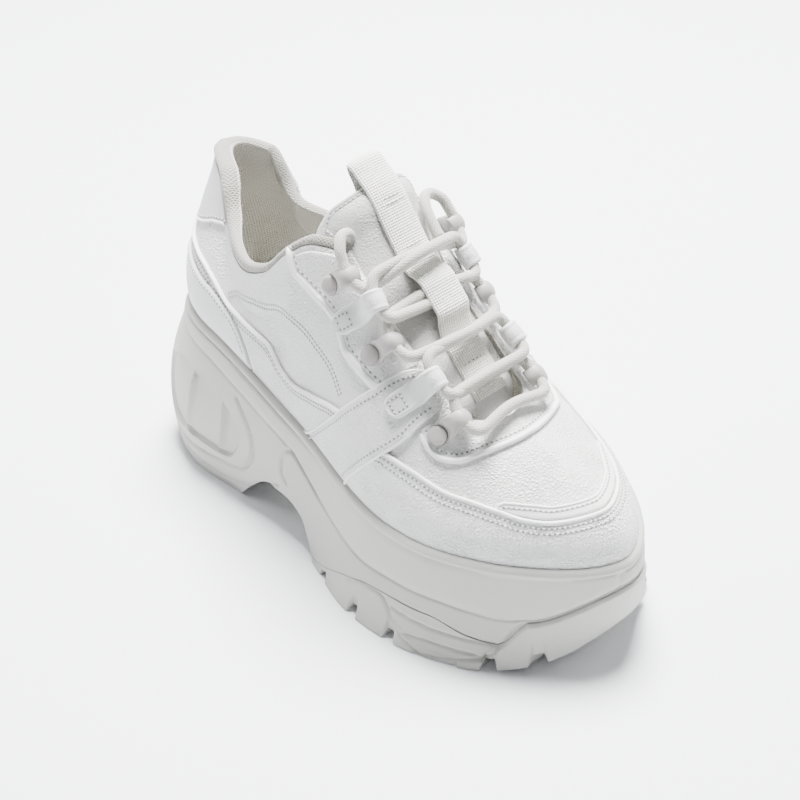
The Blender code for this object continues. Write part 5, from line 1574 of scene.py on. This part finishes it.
def make_insole(material):
    """Sock lining in the cup, a little dished."""
    turns = dense_turns(300)
    inset = -(LIP + CLEARANCE + WALL + 2 * CLEARANCE)
    floor = cup_floor(turns) + CLEARANCE
    outer = sole_line(turns, inset, floor + INSOLE_THICKNESS)
    middle = outer.copy()
    middle[:, 1] = outer[:, 1].mean()
    rows = [sole_line(turns, inset, floor), sole_line(turns, inset, floor + INSOLE_THICKNESS * 0.7)]
    for share in (0.0, 0.03, 0.08, 0.16, 0.3, 0.5, 0.7, 0.9, 1.0):
        flat = outer + (middle - outer) * share
        flat[:, 2] += 0.0004 * (1 - smooth(share * 12)) - 0.0006 * smooth(share * 3) + 0.0010 * np.exp(-(share / 0.06) ** 2) - 0.001
        rows.append(flat)
    faces, _ = grid_faces(len(rows), 300, wrap_columns=True)
    points = np.array(rows)
    every = [tuple(int(i) for i in f) for f in faces]
    last = (len(rows) - 1) * 300
    across = (300 - np.arange(300)) % 300
    every += [tuple(int(i) for i in np.arange(300)[::-1])]
    spine = [tuple(int(last + i) for i in (k, k + 1, across[k + 1], across[k])) for k in range(150)]
    every += [tuple(dict.fromkeys(f)) for f in spine if len(set(f)) > 2]
    mesh_piece("insole_sock", points.reshape(-1, 3), every, [material], ("insole",))


def main():
    make_camera()
    grained = leather("grained leather", (0.84, 0.836, 0.822), 0.95, 0.7)
    plain = leather("plain leather", (0.74, 0.736, 0.724), 0.75, 0.9)
    smoothed = leather("counter leather", (0.78, 0.78, 0.785), 0.22, 0.5)
    # Darker copy of the white leather for the heel tab, where the top light falls strongly: painted shade.
    tab = leather("heel tab shaded leather", (0.54, 0.54, 0.545), 0.22, 0.5)
    # Darker copy of the white leather for the lace loops: painted shade.
    shaded_loop_leather = leather("loop leather", (0.66, 0.66, 0.655), 0.22, 0.7)
    # Lighter copy of the white leather for the piping and trim, so the raised beads look lit: painted highlight.
    edge = leather("lit piping leather", (0.90, 0.895, 0.88), 0.15, 0.3)
    rubber = moulded("sole rubber", (0.44, 0.437, 0.412))
    # The collar mesh and the lining are one cloth in two tints: darker on the rim where the top light falls (painted
    # shade) and lighter inside where shade falls (painted light).
    collar = knitted("collar mesh painted darker", (0.33, 0.318, 0.285), (0.21, 0.20, 0.175), 0.00105, 0.00036)
    lining = knitted("lining mesh", (0.56, 0.54, 0.485), (0.36, 0.345, 0.30), 0.00105, 0.00030)
    webbing = woven("webbing", (0.93, 0.92, 0.87), (0.66, 0.65, 0.59), 0.0012, 0.0003)
    cord = braided("lace braid", (0.47, 0.458, 0.415), (0.31, 0.30, 0.265), 0.0014, 0.00016)
    paint = painted("hook paint", (0.35, 0.325, 0.315))
    sock = knitted("sock cloth", (0.95, 0.945, 0.92), (0.74, 0.735, 0.71), 0.0009, 0.0001)
    thread = thread_of("thread", (0.72, 0.72, 0.70))
    # Dark colour of the needle-hole beads: painted shade in the stitch dimples.
    painted_hole_shade = thread_of("needle hole painted shade", (0.26, 0.26, 0.25))

    make_studio()
    make_lace_ends(cord)
    make_lace(cord)
    make_midsole(rubber)
    make_outsole(rubber)
    make_insole(sock)
    make_upper(plain, collar, lining)
    tongue_leather = leather("tongue leather", (0.52, 0.515, 0.50), 0.42, 0.8)
    stitches = Stitches()
    make_tongue(tongue_leather, lining, stitches)
    make_tape(webbing, stitches)

    foot = ((0, -0.20), (1, -0.20))
    overlay("heel_tab", 0, 0.183, 0, TAB_LINE, COLLAR_LINE, tab, columns=120)
    overlay("heel_counter", 0, 0.268, 0, foot, COUNTER_LINE, smoothed, columns=160, thick=0.0021)
    overlay("wave_overlay", 0, 0.545, 0, WAVE_LOW, WAVE_HIGH, plain, columns=300)
    overlay("mudguard", 0.54, 1, 0, foot, MUDGUARD_HIGH, grained, rows=16, columns=260)
    overlay("toe_crescent", 0.885, 1, 0, CRESCENT_LOW, CRESCENT_HIGH, edge, rows=6, columns=140)
    overlay("throat_overlay", 0.728, 1, 0, THROAT_LOW, THROAT_HIGH, plain, columns=200)
    for side, word in ((-1, "lateral"), (1, "medial")):
        overlay(f"eyestay_{word}", 0.415, 0.685, side, EYESTAY_LOW, EYESTAY_HIGH, plain, columns=90)
        overlay(f"strap_{word}", 0.405, 0.755, side, STRAP_LOW, STRAP_HIGH, plain, rows=30, columns=130, thick=0.0023)
        for number, row in enumerate(EYELETS, 1):
            if row[0] == "hook":
                make_hook(row, side, word, number, paint)
            else:
                make_loop(row, side, word, number, shaded_loop_leather, stitches)

    lines = (
        ("wave", 0, 0.548, 0, WAVE_HIGH, (0.0023, 0.0042), 0.0012, 0.0018, 0.0024),
        ("tab", 0, 0.183, 0, TAB_LINE, (-0.0020,), 0.0012, 0.0014, 0.0013),
        ("counter", 0, 0.262, 0, COUNTER_LINE, (0.0022,), 0.0021, 0.0, 0.0),
        ("mudguard", 0.56, 1, 0, MUDGUARD_HIGH, (0.0023, 0.0046), 0.0012, 0.0020, 0.0019),
        ("crescent", 0.888, 1, 0, CRESCENT_HIGH, (0.0018,), 0.0012, 0.0012, 0.0012),
        ("throat", 0.728, 1, 0, THROAT_LOW, (-0.0028,), 0.0012, 0.0026, 0.0024),
    )
    for name, start, end, side, rows, offsets, out, width, height in lines:
        turns, ups = path_on(start, end, side, rows, 420)
        if width:
            piping(f"piping_{name}", turns, ups, out - 0.0002, width, height, edge)
        for distance in offsets:
            stitches.row(*surface_step(turns, ups, distance), out)
    for side, word in ((-1, "lateral"), (1, "medial")):
        turns, ups = path_on(0.404, 0.64, side, EYESTAY_STRIP, 200)
        piping(f"eyestay_strip_{word}", turns, ups, 0.0006, 0.0042, 0.0030, edge)
        stitches.row(*surface_step(turns, ups, 0.0031 * -side), 0.0012, 0.0030, 0.0009)
        for rows, start, end, sign in ((STRAP_HIGH, 0.416, 0.69, 1), (STRAP_LOW, 0.549, 0.745, -1)):
            turns, ups = path_on(start, end, side, rows, 200)
            piping(f"strap_edge_{word}_{'rear' if sign > 0 else 'front'}", turns, ups, 0.0014, 0.0016, 0.0018, edge)
            turns, ups = path_on(start + (0.017 if sign > 0 else 0.010), end, side, rows, 200)
            stitches.row(*surface_step(turns, ups, 0.0025 * sign * side), 0.0023)
        turns, ups = path_on(0.209, 0.545, side, QUARTER_ARC, 200)
        for distance in (-0.0011, 0.0011):
            stitches.row(*surface_step(turns, ups, distance), 0.0, 0.0019, 0.0011)
    stitches.make(thread, painted_hole_shade)
    for thing, path, length in CORDS:
        run = float(np.linalg.norm(np.diff(smooth_path(path, 60), axis=0), axis=1).sum())
        [tuple(float(v) for v in p - MIDDLE) for p in smooth_path(path, 60)]


EYESTAY_STRIP = ((0.403, 0.985), (0.411, 0.932), (0.429, 0.80), (0.459, 0.745), (0.497, 0.716), (0.536, 0.695), (0.558, 0.652), (0.596, 0.650), (0.64, 0.665))
QUARTER_ARC = ((0.209, 0.40), (0.225, 0.461), (0.27, 0.60), (0.317, 0.682), (0.36, 0.672), (0.39, 0.636), (0.442, 0.549),
               (0.489, 0.507), (0.525, 0.48), (0.545, 0.438))
main()
